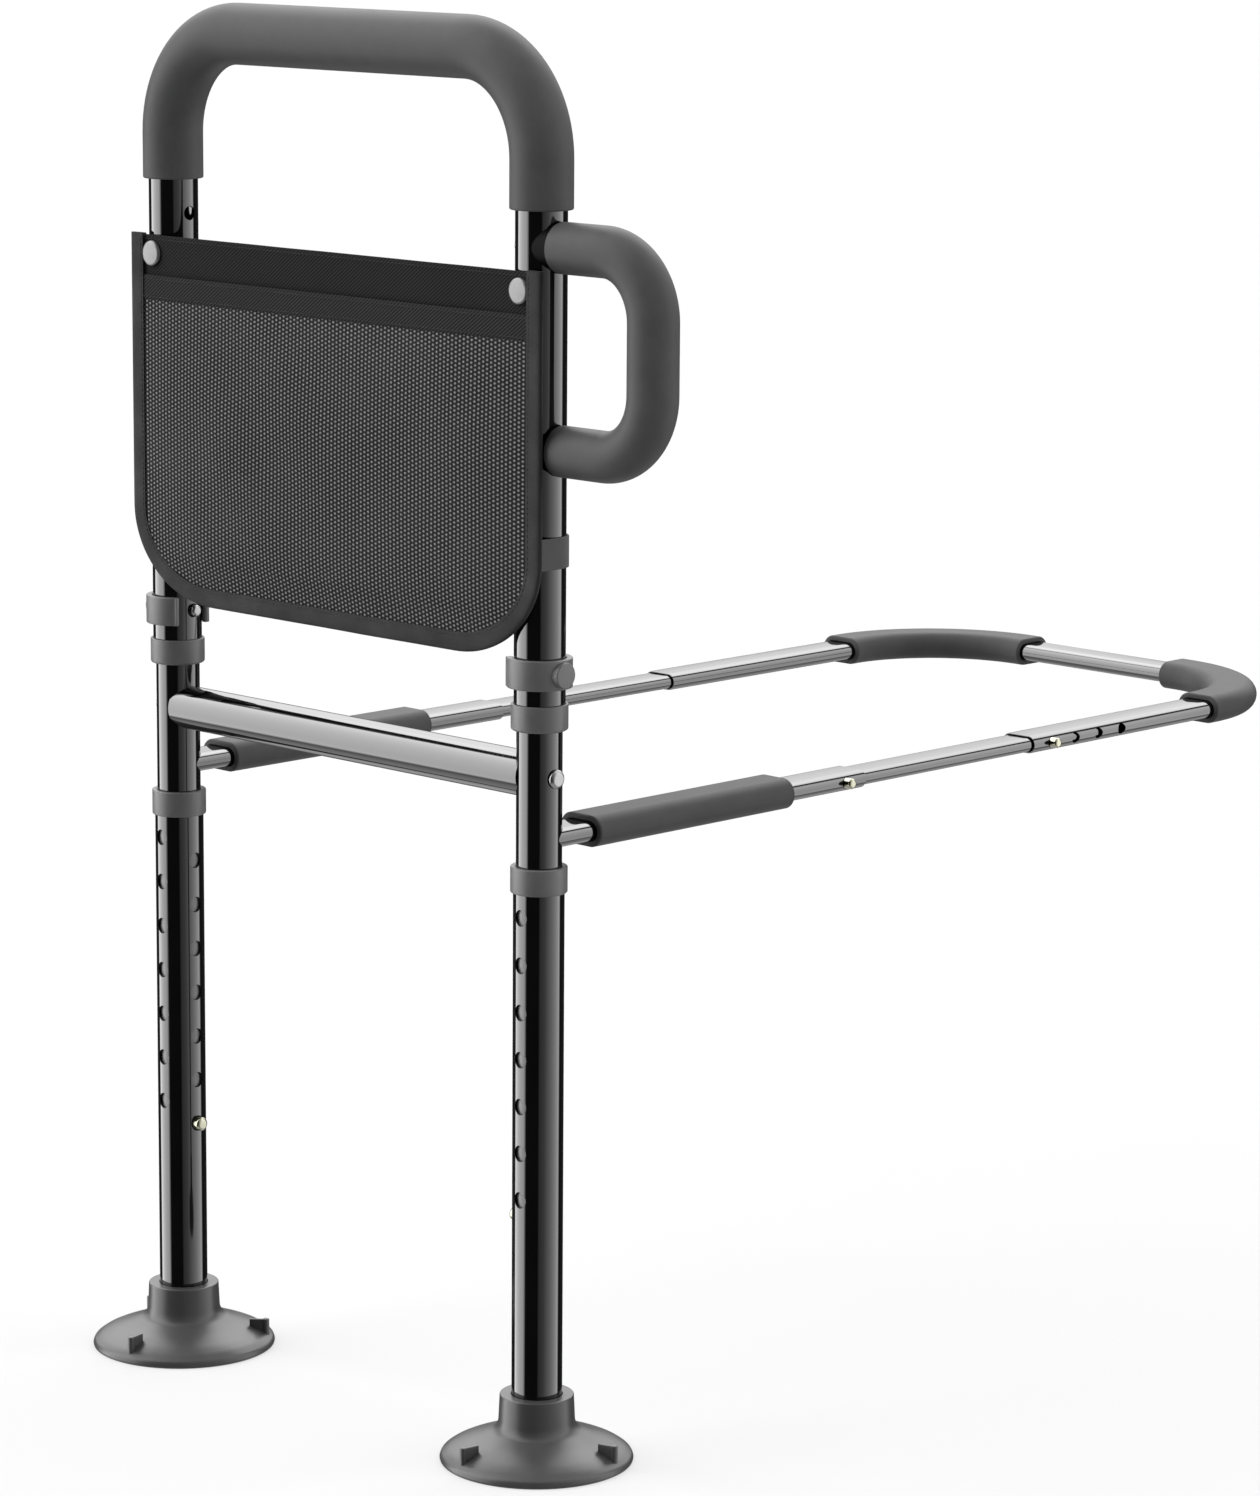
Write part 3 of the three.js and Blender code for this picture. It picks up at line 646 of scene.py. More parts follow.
BLACK = black_gloss()
FOAM = foam()
SLEEVE = speckled("sleeve_rubber", 0.034, 0.041, 0.42, 0.05, 40, 1400, 0.05 * MM,
                  specular=0.03, strength=0.25)
RUBBER = speckled("foot_rubber", 0.024, 0.029, 0.33, 0.04, 45, 1200, 0.06 * MM,
                  specular=0.22, strength=0.3)
PLASTIC = speckled("grey_plastic", 0.046, 0.056, 0.46, 0.05, 55, 1600, 0.04 * MM,
                  specular=0.3, strength=0.25)
TWILL_DARK = twill("pouch_twill_dark", 0.0020, 0.0190)
TWILL_HEM = twill("pouch_twill_hem", 0.0032, 0.0260)
MESH_CLOTH = pouch_mesh_material()
BINDING = tape("binding_tape", 0.0068, 0.0108)
WEBBING = tape("strap_webbing", 0.032, 0.048)
CHROME = bright_metal("bright_steel", 0.13, 0.17, 0.26)
SNAP_STEEL = bright_metal("satin_steel", 0.062, 0.082, 0.36)
ZINC = bright_metal("yellow_zinc", 0.16, 0.22, 0.18, yellow=0.24)
BLACK_PLASTIC = speckled("black_plastic", 0.0010, 0.002, 0.50, 0.04, 55, 1500, 0.03 * MM, specular=0.02,
                         strength=0.2)
# the posts' black, with painted shade where each lies inside its leg
POST_BLACK = recess_shaded_black(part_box("leg_tube_left")[1].z)
SPRING = bright_metal("spring_steel", 0.40, 0.52, 0.30)
THREAD = tape("pouch_thread", 0.010, 0.018, across=0.6)


# ---------- upper frame ----------
def rail_stations(bottom_z):
    """Up one side, over the top and down the other."""
    up, down = (0, 0, 1), (0, 0, -1)
    cx, cz = UPRIGHT_X - TOP_BEND_R, TOP_Z - TOP_BEND_R
    return ([straight((-UPRIGHT_X, 0, bottom_z), up), straight((-UPRIGHT_X, 0, bottom_z + 2 * MM), up)]
            + bend((-cx, 0, cz), (1, 0, 0), up, TOP_BEND_R, math.pi, math.pi / 2)
            + bend((cx, 0, cz), (1, 0, 0), up, TOP_BEND_R, math.pi / 2, 0)
            + [straight((UPRIGHT_X, 0, bottom_z + 2 * MM), down), straight((UPRIGHT_X, 0, bottom_z), down)])


PIN_Z = centre_of("clip_pin_left").z
CROSSBAR_Z = centre_of("crossbar").z


def build_upper_frame():
    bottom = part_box("upper_frame_tube")[0].z
    cuts = []
    for x in (-UPRIGHT_X, UPRIGHT_X):
        for direction in (-1, 1):
            for z in (HANDLE_UPPER_Z, HANDLE_LOWER_Z, PIN_Z):
                cuts.append(cutter(CROSS_HOLE_R, DRILL, (x, 0, z), (direction, 0, 0), TUBE_R - 0.2 * MM))
    make_tube("rail_tube", rail_stations(bottom), (0, 1, 0), TUBE_R, TUBE_R - TUBE_WALL, "frame",
              ["upper_frame_tube"], BLACK, edge=0.4 * MM, cuts=cuts, segments=72)
    grip_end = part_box("top_grip_foam")[0].z
    grip = make_tube("hand_grip", rail_stations(grip_end), (0, 1, 0), GRIP_R, TUBE_R + 0.15 * MM, "frame",
                     ["top_grip_foam"], FOAM, edge=1.1 * MM, segments=80)


def handle_stations(start_x):
    cx = HANDLE_X - HANDLE_BEND_R
    upper = (cx, 0, HANDLE_UPPER_Z - HANDLE_BEND_R)
    lower = (cx, 0, HANDLE_LOWER_Z + HANDLE_BEND_R)
    out, back = (1, 0, 0), (-1, 0, 0)
    return ([straight((start_x, 0, HANDLE_UPPER_Z), out), straight((start_x + MM, 0, HANDLE_UPPER_Z), out)]
            + bend(upper, out, (0, 0, 1), HANDLE_BEND_R, math.pi / 2, 0)
            + bend(lower, out, (0, 0, 1), HANDLE_BEND_R, 0, -math.pi / 2)
            + [straight((start_x + MM, 0, HANDLE_LOWER_Z), back),
               straight((start_x, 0, HANDLE_LOWER_Z), back)])


def upright_cutter(r, x, low, high):
    verts, faces = lathe([(0, low), (r, low), (r, high), (0, high)], 96, closed=False)
    return loose_mesh("cutter", [(v[0] + x, v[1], v[2]) for v in verts], faces)


def domed_bolt(name, node, head_r, head_h, origin, axis, material):
    """A low domed head whose underside is at origin, with its dome against axis."""
    profile = rounded([(0, -head_h), (head_r * 0.72, -head_h), (head_r, -head_h * 0.45), (head_r, 0),
                       (3.8 * MM, 0), (3.8 * MM, 20 * MM), (0, 20 * MM)],
                      [0, 1.6 * MM, 0.8 * MM, 0.2 * MM, 0, 0, 0], 4)
    turned(name, profile, origin, axis, "frame", [node], material, 48)


def build_side_handle():
    start_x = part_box("side_handle_foam")[0].x
    grip = make_tube("side_grip", handle_stations(start_x), (0, 1, 0), HANDLE_FOAM_R, HANDLE_BORE_R, "frame",
                     ["side_handle_foam"], FOAM, edge=0.9 * MM, segments=72)
    for level in ("upper", "lower"):
        low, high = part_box("side_handle_saddle_" + level)
        z = (low.z + high.z) / 2
        reach = [straight((x, 0, z), (1, 0, 0)) for x in (low.x - 2 * MM, low.x, high.x - MM, high.x)]
        make_tube("handle_saddle_" + level, reach, (0, 1, 0), (high.z - low.z) / 2, HANDLE_BORE_R, "frame",
                  ["side_handle_saddle_" + level], BLACK_PLASTIC, edge=0.5 * MM,
                  cuts=[upright_cutter(TUBE_R + 0.1 * MM, UPRIGHT_X, z - 40 * MM, z + 40 * MM)], segments=64)
        node = "side_handle_bolt_" + level
        domed_bolt("handle_bolt_head_" + level, node, 6 * MM, 2.6 * MM,
                   (UPRIGHT_X - TUBE_R - 0.1 * MM, 0, centre_of(node).z), (1, 0, 0), CHROME)


# ---------- collars, posts, legs ----------
def collar_profile(height, outer, lip_up):
    bore, seat, lip = POST_R + 0.15 * MM, TUBE_R + 0.1 * MM, 2.9 * MM
    if lip_up:
        points = [(seat, 0), (outer, 0), (outer, height), (bore, height),
                  (bore, height - lip), (seat, height - lip)]
        return rounded(points, [0.2 * MM, 1.8 * MM, 0.55 * MM, 0.35 * MM, 0, 0], 5)
    points = [(bore, 0), (outer, 0), (outer, height), (seat, height), (seat, lip), (bore, lip)]
    return rounded(points, [0.2 * MM, 2.2 * MM, 0.55 * MM, 0.35 * MM, 0, 0], 5)


def snap_button(name, node, sizes, centre, way):
    """A flanged button with a domed tip, pointing along X, for a hole in the tube round centre."""
    flange, stem, dome, base = sizes
    reach = size_of(node).x
    profile = rounded([(0, 0), (flange, 0), (flange, MM), (stem, MM), (stem, reach), (0, reach)],
                      [0, 0, 0, 0, dome, 0], 8)
    x, y, z = centre
    turned(name, profile, (x + way * base, y, z), (way, 0, 0), node, [node], ZINC, 40)


def build_uprights(name, side):
    x = side * UPRIGHT_X
    for node, body, lip_up in (("leg_collar_", "leg_", True), ("upper_collar_", "frame", False)):
        low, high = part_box(node + name)
        outer = (high.x - low.x) / 2
        turned(node.replace("collar", "ring") + name, collar_profile(high.z - low.z, outer, lip_up),
               (x, 0, low.z), (0, 0, 1), body + name if body == "leg_" else body, [node + name],
               PLASTIC, 80)

    low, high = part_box("post_" + name)
    post = rod((x, 0, 0), 2, low.z, high.z)
    button_z = centre_of("leg_button_" + name).z
    cuts = [cutter(HOLE_R, DRILL, (x, 0, button_z), (-side, 0, 0), POST_R - 0.2 * MM)]
    for direction in (-1, 1):
        cuts += [cutter(CROSS_HOLE_R, DRILL, (x, 0, z), (direction, 0, 0)) for z in (CROSSBAR_Z, PIN_Z)]
    make_tube("inner_post_" + name, post, (0, 1, 0), POST_R, POST_R - TUBE_WALL, "frame", ["post_" + name],
              POST_BLACK, edge=0.4 * MM, cuts=cuts, segments=72)

    low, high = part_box("leg_tube_" + name)
    leg = rod((x, 0, 0), 2, low.z, high.z)
    cuts = []
    for i in range(HEIGHT_HOLES):
        z = button_z + i * HEIGHT_PITCH
        cuts.append(cutter(HOLE_R, DRILL, (x, 0, z), (-side, 0, 0), TUBE_R - 0.25 * MM))
        cuts.append(cutter(HOLE_R, DRILL, (x, 0, z + FRONT_HOLE_RISE), (0, -1, 0), TUBE_R - 0.25 * MM))
    make_tube("outer_leg_" + name, leg, (0, 1, 0), TUBE_R, TUBE_R - TUBE_WALL, "leg_" + name,
              ["leg_tube_" + name], BLACK, edge=0.4 * MM, cuts=cuts, segments=72)
    build_foot(name, side)
    snap_button("snap_button_leg_" + name, "leg_button_" + name, LEG_BUTTON, (x, 0, button_z), -side)


def build_foot(name, side):
    node = "foot_" + name
    low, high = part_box(node)
    x = side * UPRIGHT_X
    r = (high.x - low.x) / 2
    top = high.z - low.z
    flange = [(0, 12), (16.2, 12), (16.2, top / MM), (23.4, top / MM), (24.4, 21.4), (36, 15.6), (50, 10.2),
              (56, 7.4), (60.4, 4.2), (r / MM, 1.6), (r / MM - 0.5, 0),
              (52, 0), (46, 1.6), (36, 4), (24, 6), (0, 6.6)]
    radii = [0, 0, 0.5, 0.9, 9, 100, 80, 24, 4, 1.2, 0.6, 0.5, 0, 0, 0, 0]
    profile = rounded([(a * MM, b * MM) for a, b in flange], [v * MM for v in radii], 8)
    verts, faces = lathe(profile, 128)
    foot = new_piece("suction_foot_" + name, placed(verts, (x, 0, low.z)), faces, None, (), RUBBER)
    tools = []
    for degrees in (-80, 42, 164):
        angle = math.radians(degrees)
        tools += fin(x, low.z, angle if side < 0 else math.pi - angle)
    boolean(foot, tools, "UNION")
    smooth(foot.data, 40)
    dress(foot, "leg_" + name, [node])


def fin(x, floor, angle):
    """A release tab: a thin upright plate along a radius, ending in a round rib."""
    inner, outer, rib = 44.5 * MM, 57.9 * MM, 2.25 * MM
    low, high = 3 * MM, 17 * MM
    plan = [(inner, -1.2 * MM), (outer - rib, -1.2 * MM), (outer - rib, 1.2 * MM), (inner, 1.2 * MM)]
    edge = 0.6 * MM
    levels = [(low, 0.0)] + [(high - edge * (1 - math.sin(t)), edge * (1 - math.cos(t)))
                             for t in np.linspace(0, math.pi / 2, 5)]
    plate = stacked(rounded(plan, [0.7 * MM, 0, 0, 0.7 * MM], 4), levels, drawn_in=True)
    post, post_faces = lathe(rounded([(0, low), (rib, low), (rib, high + 0.4 * MM), (0, high + 0.4 * MM)],
                                     [0, 0, 0.9 * MM, 0], 5), 28, closed=False)
    tools = []
    for verts, faces in (plate, ([(v[0] + outer - rib, v[1], v[2]) for v in post], post_faces)):
        turn = Matrix.Translation((x, 0, floor)) @ Matrix.Rotation(angle, 4, "Z")
        tools.append(loose_mesh("tab", [turn @ Vector(v) for v in verts], faces))
    return tools


def stacked(outline, levels, drawn_in=False):
    """A closed prism of the outline at each (z, inset), with every level drawn in by its inset."""
    normals = outline_normals(outline)
    verts, faces = [], []
    n = len(outline)
    for z, inset in levels:
        for (u, v), (nu, nv) in zip(outline, normals):
            verts.append((u - nu * inset, v - nv * inset, z) if drawn_in else (u, v, z))
    for i in range(len(levels) - 1):
        for k in range(n):
            m = (k + 1) % n
            faces.append((i * n + k, i * n + m, (i + 1) * n + m, (i + 1) * n + k))
    faces.append(tuple(range(n)))
    faces.append(tuple(range((len(levels) - 1) * n, len(levels) * n)))
    return verts, faces


def build_crossbar():
    z = CROSSBAR_Z
    low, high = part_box("crossbar")
    path = rod((0, 0, z), 0, low.x, high.x)
    cuts = [upright_cutter(POST_R + 0.1 * MM, s * UPRIGHT_X, z - 40 * MM, z + 40 * MM) for _, s in SIDES]
    make_tube("cross_tube", path, (0, 1, 0), POST_R, POST_R - TUBE_WALL, "frame", ["crossbar"],
              BLACK, edge=0.2 * MM, cuts=cuts, segments=80)
    for name, side in SIDES:
        domed_bolt("cross_bolt_head_" + name, "crossbar_bolt_" + name, 6 * MM, 3 * MM,
                   (side * (UPRIGHT_X + POST_R + 0.1 * MM), 0, z), (-side, 0, 0), CHROME)


# ---------- bed loop ----------
def oval_path(x, y0, y1):
    return rod((x, 0, ARM_Z), 1, y0, y1)


def oval(size, wall=None):
    """Half the flat and the outside and inside radius of a flat oval."""
    half_flat, r = (size[0] - size[1]) / 2, size[1] / 2
    return half_flat, r, r - (OVAL_WALL if wall is None else wall)


def loop_corner(side, steps=24):
    centre = (side * (UPRIGHT_X - LOOP_BEND_R), LOOP_BACK_Y - LOOP_BEND_R, ARM_Z)
    if side < 0:
        return bend(centre, (1, 0, 0), (0, 1, 0), LOOP_BEND_R, math.pi, math.pi / 2, steps)
    return bend(centre, (1, 0, 0), (0, 1, 0), LOOP_BEND_R, math.pi / 2, 0, steps)


def side_drill(x, side, y, outer_half):
    return cutter(LOOP_HOLE_R, DRILL, (x, y, ARM_Z), (side, 0, 0), outer_half - 0.25 * MM, 0.3 * MM)


def build_loop():
    z_up = (0, 0, 1)
    hole_ys = {}
    for place in ("root", "end"):
        hole_ys[place] = centre_of(f"loop_button_{place}_left").y
    for name, side in SIDES:
        x = side * UPRIGHT_X
        half_flat, r, inner = oval(OUTER_OVAL)
        low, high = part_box("arm_root_" + name)
        cuts = [upright_cutter(POST_R + 0.15 * MM, x, ARM_Z - 30 * MM, ARM_Z + 30 * MM),
                side_drill(x, side, hole_ys["root"], OUTER_OVAL[0] / 2)]
        make_tube("root_arm_" + name, oval_path(x, 2 * MM, high.y), z_up, r, inner, "frame",
                  ["arm_root_" + name], BLACK, half_flat, 0.35 * MM, cuts=cuts, segments=96)
        half_flat, r, inner = oval(INNER_OVAL)
        low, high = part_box("arm_middle_" + name)
        cuts = [side_drill(x, side, hole_ys[p], INNER_OVAL[0] / 2) for p in ("root", "end")]
        make_tube("middle_arm_" + name, oval_path(x, low.y, high.y), z_up, r, inner, "loop_middle",
                  ["arm_middle_" + name], BLACK, half_flat, 0.3 * MM, cuts=cuts, segments=96)
        half_flat, r, inner = oval(SLEEVE_OVAL, SLEEVE_WALL)
        low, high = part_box("arm_sleeve_" + name)
        make_tube("soft_sleeve_" + name, oval_path(x, low.y, high.y), z_up, r, inner, "frame",
                  ["arm_sleeve_" + name], SLEEVE, half_flat, 1.3 * MM, 0.7 * MM, segments=112)
        corner = loop_corner(side)
        past = 7 * MM
        arm_end = (side * UPRIGHT_X, LOOP_BACK_Y - LOOP_BEND_R - past, ARM_Z)
        back_end = (side * (UPRIGHT_X - LOOP_BEND_R - past), LOOP_BACK_Y, ARM_Z)
        if side < 0:
            path = [straight(arm_end, (0, 1, 0)), *corner, straight(back_end, (1, 0, 0))]
        else:
            path = [straight(back_end, (1, 0, 0)), *corner, straight(arm_end, (0, -1, 0))]
        make_tube("corner_cover_" + name, path, z_up, r, inner, "loop_end", ["corner_sleeve_" + name],
                  SLEEVE, half_flat, 1.3 * MM, 0.7 * MM, segments=112)
        for place in ("root", "end"):
            snap_button(f"snap_button_{place}_{name}", f"loop_button_{place}_{name}", LOOP_BUTTON,
                        (x, hole_ys[place], ARM_Z), side)

    half_flat, r, inner = oval(OUTER_OVAL)
    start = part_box("loop_end_tube")[0].y
    path = [*(straight((-UPRIGHT_X, y, ARM_Z), (0, 1, 0)) for y in (start, start + MM)),
            *loop_corner(-1), *loop_corner(1),
            *(straight((UPRIGHT_X, y, ARM_Z), (0, -1, 0)) for y in (start + MM, start))]
    cuts = [side_drill(side * UPRIGHT_X, side, hole_ys["end"] + i * LENGTH_PITCH, OUTER_OVAL[0] / 2)
            for _, side in SIDES for i in range(LENGTH_HOLES)]
    make_tube("end_loop", path, z_up, r, inner, "loop_end", ["loop_end_tube"], BLACK,
              half_flat, 0.35 * MM, cuts=cuts, segments=96)


# ---------- quick-release clips ----------
def build_clip(name, side):
    """C-shaped spring ring with rolled lips, a round boss outside and a ball-ended pin through it."""
    x = side * UPRIGHT_X
    low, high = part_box("clip_" + name)
    height, z = high.z - low.z, (low.z + high.z) / 2
    inner, outer = 16.35 * MM, 20.4 * MM
    half = 0.75 * math.pi
    steps = 60
    turns = [-half + 2 * half * k / steps for k in range(steps + 1)]
    lip = 2.5 * MM
    middle = (inner + outer) / 2 + 0.2 * MM
    outline = [(outer * math.cos(t), outer * math.sin(t)) for t in turns]
    end = Vector((math.cos(half), math.sin(half)))
    along = Vector((-math.sin(half), math.cos(half)))
    for k in range(1, 12):
        t = math.pi * k / 12
        p = end * middle + end * (lip * math.cos(t)) + along * (lip * math.sin(t))
        outline.append((p.x, p.y))
    outline += [(inner * math.cos(t), inner * math.sin(t)) for t in reversed(turns)]
    end = Vector((math.cos(-half), math.sin(-half)))
    along = Vector((-math.sin(-half), math.cos(-half)))
    for k in range(1, 12):
        t = math.pi * (1 - k / 12)
        p = end * middle + end * (lip * math.cos(t)) - along * (lip * math.sin(t))
        outline.append((p.x, p.y))
    # each level is the outline drawn in slightly, which rounds the ring's top and bottom edges
    edge = 0.7 * MM
    levels = [(-height / 2 + edge * (1 - math.cos(t)), edge * (1 - math.sin(t)))
              for t in np.linspace(0, math.pi / 2, 4)]
    levels += [(-a, b) for a, b in reversed(levels)]
    normals = outline_normals(outline)
    verts, faces = [], []
    n = len(outline)
    for level, inset in levels:
        for (a, b), (nx, ny) in zip(outline, normals):
            a, b = a - nx * inset, b - ny * inset
            verts.append((x + side * a, side * b, z + level))
    for i in range(len(levels) - 1):
        for k in range(n):
            m = (k + 1) % n
            faces.append((i * n + k, i * n + m, (i + 1) * n + m, (i + 1) * n + k))
    faces.append(tuple(range(n)))
    faces.append(tuple(range((len(levels) - 1) * n, len(levels) * n)))
    ring = new_piece("clip_ring_" + name, verts, faces, None, (), PLASTIC)
    boss_profile = rounded([(0, 0), (8 * MM, 0), (8 * MM, 5.2 * MM), (0, 5.2 * MM)], [0, 0, 0.8 * MM, 0], 5)
    boss_verts, boss_faces = lathe(boss_profile, 64, closed=False)
    boss = loose_mesh("boss", placed(boss_verts, (x + side * 18 * MM, 0, z), (side, 0, 0)), boss_faces)
    boolean(ring, [boss], "UNION")
    boolean(ring, [cutter(4.15 * MM, 20.5 * MM, (x, 0, z), (side, 0, 0))])
    smooth(ring.data, 40)
    dress(ring, "clip_" + name, ["clip_" + name])
    tip = 20.6 * MM
    profile = rounded([(0, -20.2 * MM), (3.95 * MM, -20.2 * MM), (3.95 * MM, tip), (0, tip)],
                      [0, 0, 2.6 * MM, 0], 9)
    turned("lock_pin_" + name, profile, (x, 0, z), (-side, 0, 0), "clip_" + name, ["clip_pin_" + name],
           CHROME, 48)


def outline_normals(outline):
    """Outward unit normals of a closed counter-clockwise outline."""
    out = []
    n = len(outline)
    for i in range(n):
        ax, ay = outline[i - 1]
        bx, by = outline[(i + 1) % n]
        dx, dy = bx - ax, by - ay
        length = math.hypot(dx, dy) or 1.0
        out.append((dy / length, -dx / length))
    return out


# ---------- pouch ----------
POUCH_LOW, POUCH_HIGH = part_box("pouch_back_panel")
POUCH_HALF_W = (POUCH_HIGH.x - POUCH_LOW.x) / 2
POUCH_TOP = POUCH_HIGH.z
POUCH_BOTTOM = POUCH_LOW.z
POUCH_BACK_Y = POUCH_HIGH.y
CORNER_W, CORNER_H = 76 * MM, 62 * MM
BINDING_W = 11.5 * MM


def pouch_edge(inset, top, steps=28):
    """The pouch's outline from its top left, down round the bottom and up to its top right: (x, z)."""
    half, bottom = POUCH_HALF_W - inset, POUCH_BOTTOM + inset
    rx, rz = CORNER_W - inset, CORNER_H - inset
    points = [(-half, z) for z in np.linspace(top, bottom + rz, 14)[:-1]]
    for k in range(steps + 1):
        t = math.pi / 2 * k / steps
        points.append((-half + rx - rx * math.cos(t), bottom + rz - rz * math.sin(t)))
    points += [(x, bottom) for x in np.linspace(-half + rx, half - rx, 12)[1:-1]]
    for k in range(steps + 1):
        t = math.pi / 2 * (1 - k / steps)
        points.append((half - rx + rx * math.cos(t), bottom + rz - rz * math.sin(t)))
    points += [(half, z) for z in np.linspace(bottom + rz, top, 14)[1:]]
    return points


def span_at(z, inset):
    """Half the pouch's width at height z, drawn in by inset."""
    half, bottom = POUCH_HALF_W - inset, POUCH_BOTTOM + inset
    rx, rz = CORNER_W - inset, CORNER_H - inset
    if z >= bottom + rz:
        return half
    down = min(1.0, (bottom + rz - z) / rz)
    return half - rx + rx * math.sqrt(max(0.0, 1 - down * down))


def ripple(x, z, seed):
    """A few slow waves, as cloth held along its edges has."""
    rng = np.random.default_rng(seed)
    total = 0.0
    for _ in range(6):
        kx, kz, phase = rng.uniform(6, 30), rng.uniform(4, 24), rng.uniform(0, 6.28)
        total += math.sin(kx * x * math.pi + kz * z * math.pi + phase) / 6
    return total


def cloth_panel(name, inset, top, depth, thickness, material, columns=96, rows=72):
    """A panel as a grid that follows the pouch's outline, with depth(x, z) its front's Y."""
    bottom = POUCH_BOTTOM + inset
    # rows close up towards the bottom, where the outline turns in
    heights = [bottom + (top - bottom) * (1 - math.cos(math.pi / 2 * i / rows)) for i in range(rows + 1)]
    verts, faces = [], []
    for back in (0, 1):
        for z in heights:
            half = max(span_at(z, inset), 2 * MM)
            for j in range(columns + 1):
                s = -1 + 2 * j / columns
                x = half * math.sin(s * math.pi / 2) * 0.35 + half * s * 0.65
                verts.append((x, depth(x, z) + back * thickness, z))
    layer = (rows + 1) * (columns + 1)

    def at(back, i, j):
        return back * layer + i * (columns + 1) + j

    for i in range(rows):
        for j in range(columns):
            faces.append((at(0, i, j), at(0, i, j + 1), at(0, i + 1, j + 1), at(0, i + 1, j)))
            faces.append((at(1, i, j), at(1, i + 1, j), at(1, i + 1, j + 1), at(1, i, j + 1)))
    for j in range(columns):
        faces.append((at(0, 0, j), at(1, 0, j), at(1, 0, j + 1), at(0, 0, j + 1)))
        faces.append((at(0, rows, j), at(0, rows, j + 1), at(1, rows, j + 1), at(1, rows, j)))
    for i in range(rows):
        faces.append((at(0, i, 0), at(0, i + 1, 0), at(1, i + 1, 0), at(1, i, 0)))
        faces.append((at(0, i, columns), at(1, i, columns), at(1, i + 1, columns), at(0, i + 1, columns)))
    return new_piece(name, verts, faces, "frame", (), material, 50)


HEM_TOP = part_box("pouch_front_panel")[1].z + 3 * MM
HEM_BOTTOM = HEM_TOP - 15 * MM
SNAP_CENTRES = [centre_of("pouch_snap_" + name) for name, _ in SIDES]


def back_front_y(x, z):
    """The back panel's front face: flat against the tubes, with slow waves between them."""
    middle = max(0.0, 1 - (abs(x) / (UPRIGHT_X - 16 * MM)) ** 4)
    return POUCH_BACK_Y - 1.3 * MM + 1.1 * MM * middle * ripple(x, z, 5)


def front_y(x, z):
    """The mesh pocket's front face: it stands off the back most below its middle."""
    s = min(1.0, abs(x) / (POUCH_HALF_W - BINDING_W * 0.6))
    t = (z - POUCH_BOTTOM - BINDING_W * 0.6) / (HEM_TOP - POUCH_BOTTOM - BINDING_W * 0.6)
    t = max(0.0, min(1.0, t))
    belly = (1 - s ** 5) * min(1.0, (math.sin(math.pi * min(t, 1.0) ** 0.62) + 0.35 * t) * 1.02)
    edge_in = min(1.0, t / 0.12)
    base = back_front_y(x, z) - 1.1 * MM
    return base - 4.2 * MM * belly * edge_in - 0.16 * MM * (1 - s ** 6) * edge_in * ripple(x, z, 11)


def build_pouch():
    top = POUCH_TOP - 0.4 * MM
    back = cloth_panel("pouch_back", 3 * MM, top, back_front_y, 1.0 * MM, TWILL_DARK)
    dress(back, None, ["pouch_back_panel"])
    front = cloth_panel("pouch_pocket_mesh", 4 * MM, HEM_BOTTOM + 2 * MM, front_y, 0.7 * MM, MESH_CLOTH,
                        120, 84)
    dress(front, None, ["pouch_front_panel"])
    hem = strip_grid("pouch_pocket_hem", HEM_BOTTOM, HEM_TOP, 4 * MM, lambda x, z: front_y(x, z) - 0.45 * MM,
                     1.5 * MM, TWILL_HEM)
    dress(hem, None, ())
    fold = strip_grid("pouch_top_fold", HEM_TOP + 0.5 * MM, POUCH_TOP, 3 * MM,
                      lambda x, z: back_front_y(x, z) - 0.45 * MM, 1.5 * MM, TWILL_DARK)
    dress(fold, None, ())
    binding = build_binding()
    dress(binding, None, ["pouch_binding"])
    stitches = build_stitches()
    area = math.pi * CORNER_W * CORNER_H / 4 * 2
    area += (2 * POUCH_HALF_W - 2 * CORNER_W) * CORNER_H
    area += 2 * POUCH_HALF_W * (POUCH_TOP - POUCH_BOTTOM - CORNER_H)
    for (name, side), centre in zip(SIDES, SNAP_CENTRES):
        snap_y = back_front_y(centre.x, centre.z) - 0.5 * MM
        profile = rounded([(0, -0.6 * MM), (7.9 * MM, -0.6 * MM), (8.5 * MM, 0.7 * MM), (7.9 * MM, 1.9 * MM),
                           (6.8 * MM, 2.35 * MM), (0, 2.9 * MM)],
                          [0, 0.3 * MM, 0.6 * MM, 0.6 * MM, 1.5 * MM, 0], 6)
        turned("snap_stud_" + name, profile, (centre.x, snap_y, centre.z), (0, -1, 0), "frame",
               ["pouch_snap_" + name], SNAP_STEEL, 64)
        build_strap(name, side)


def strip_grid(name, low, high, inset, depth, thickness, material, columns=110, rows=8):
    """A band of doubled cloth right across the pouch, with softly rolled upper and lower edges."""
    verts, faces = [], []
    half = POUCH_HALF_W - inset
    profile = []
    for i in range(rows + 1):
        t = i / rows
        profile.append((low + (high - low) * t, 0.0))
    for k in range(1, 6):
        a = math.pi * k / 6
        profile.append((high + math.sin(a) * thickness * 0.35, thickness * (1 - math.cos(a)) / 2))
    for i in range(rows + 1):
        t = 1 - i / rows
        profile.append((low + (high - low) * t, thickness))
    for k in range(1, 6):
        a = math.pi * k / 6
        profile.append((low - math.sin(a) * thickness * 0.35, thickness * (1 + math.cos(a)) / 2))
    n = len(profile)
    for j in range(columns + 1):
        x = -half + 2 * half * j / columns
        for z, back in profile:
            verts.append((x, depth(x, z) + back, z))
    for j in range(columns):
        for k in range(n):
            m = (k + 1) % n
            faces.append((j * n + k, j * n + m, (j + 1) * n + m, (j + 1) * n + k))
    faces.append(tuple(range(n)))
    faces.append(tuple(range(columns * n, (columns + 1) * n)))
    return new_piece(name, verts, faces, "frame", (), material, 50)


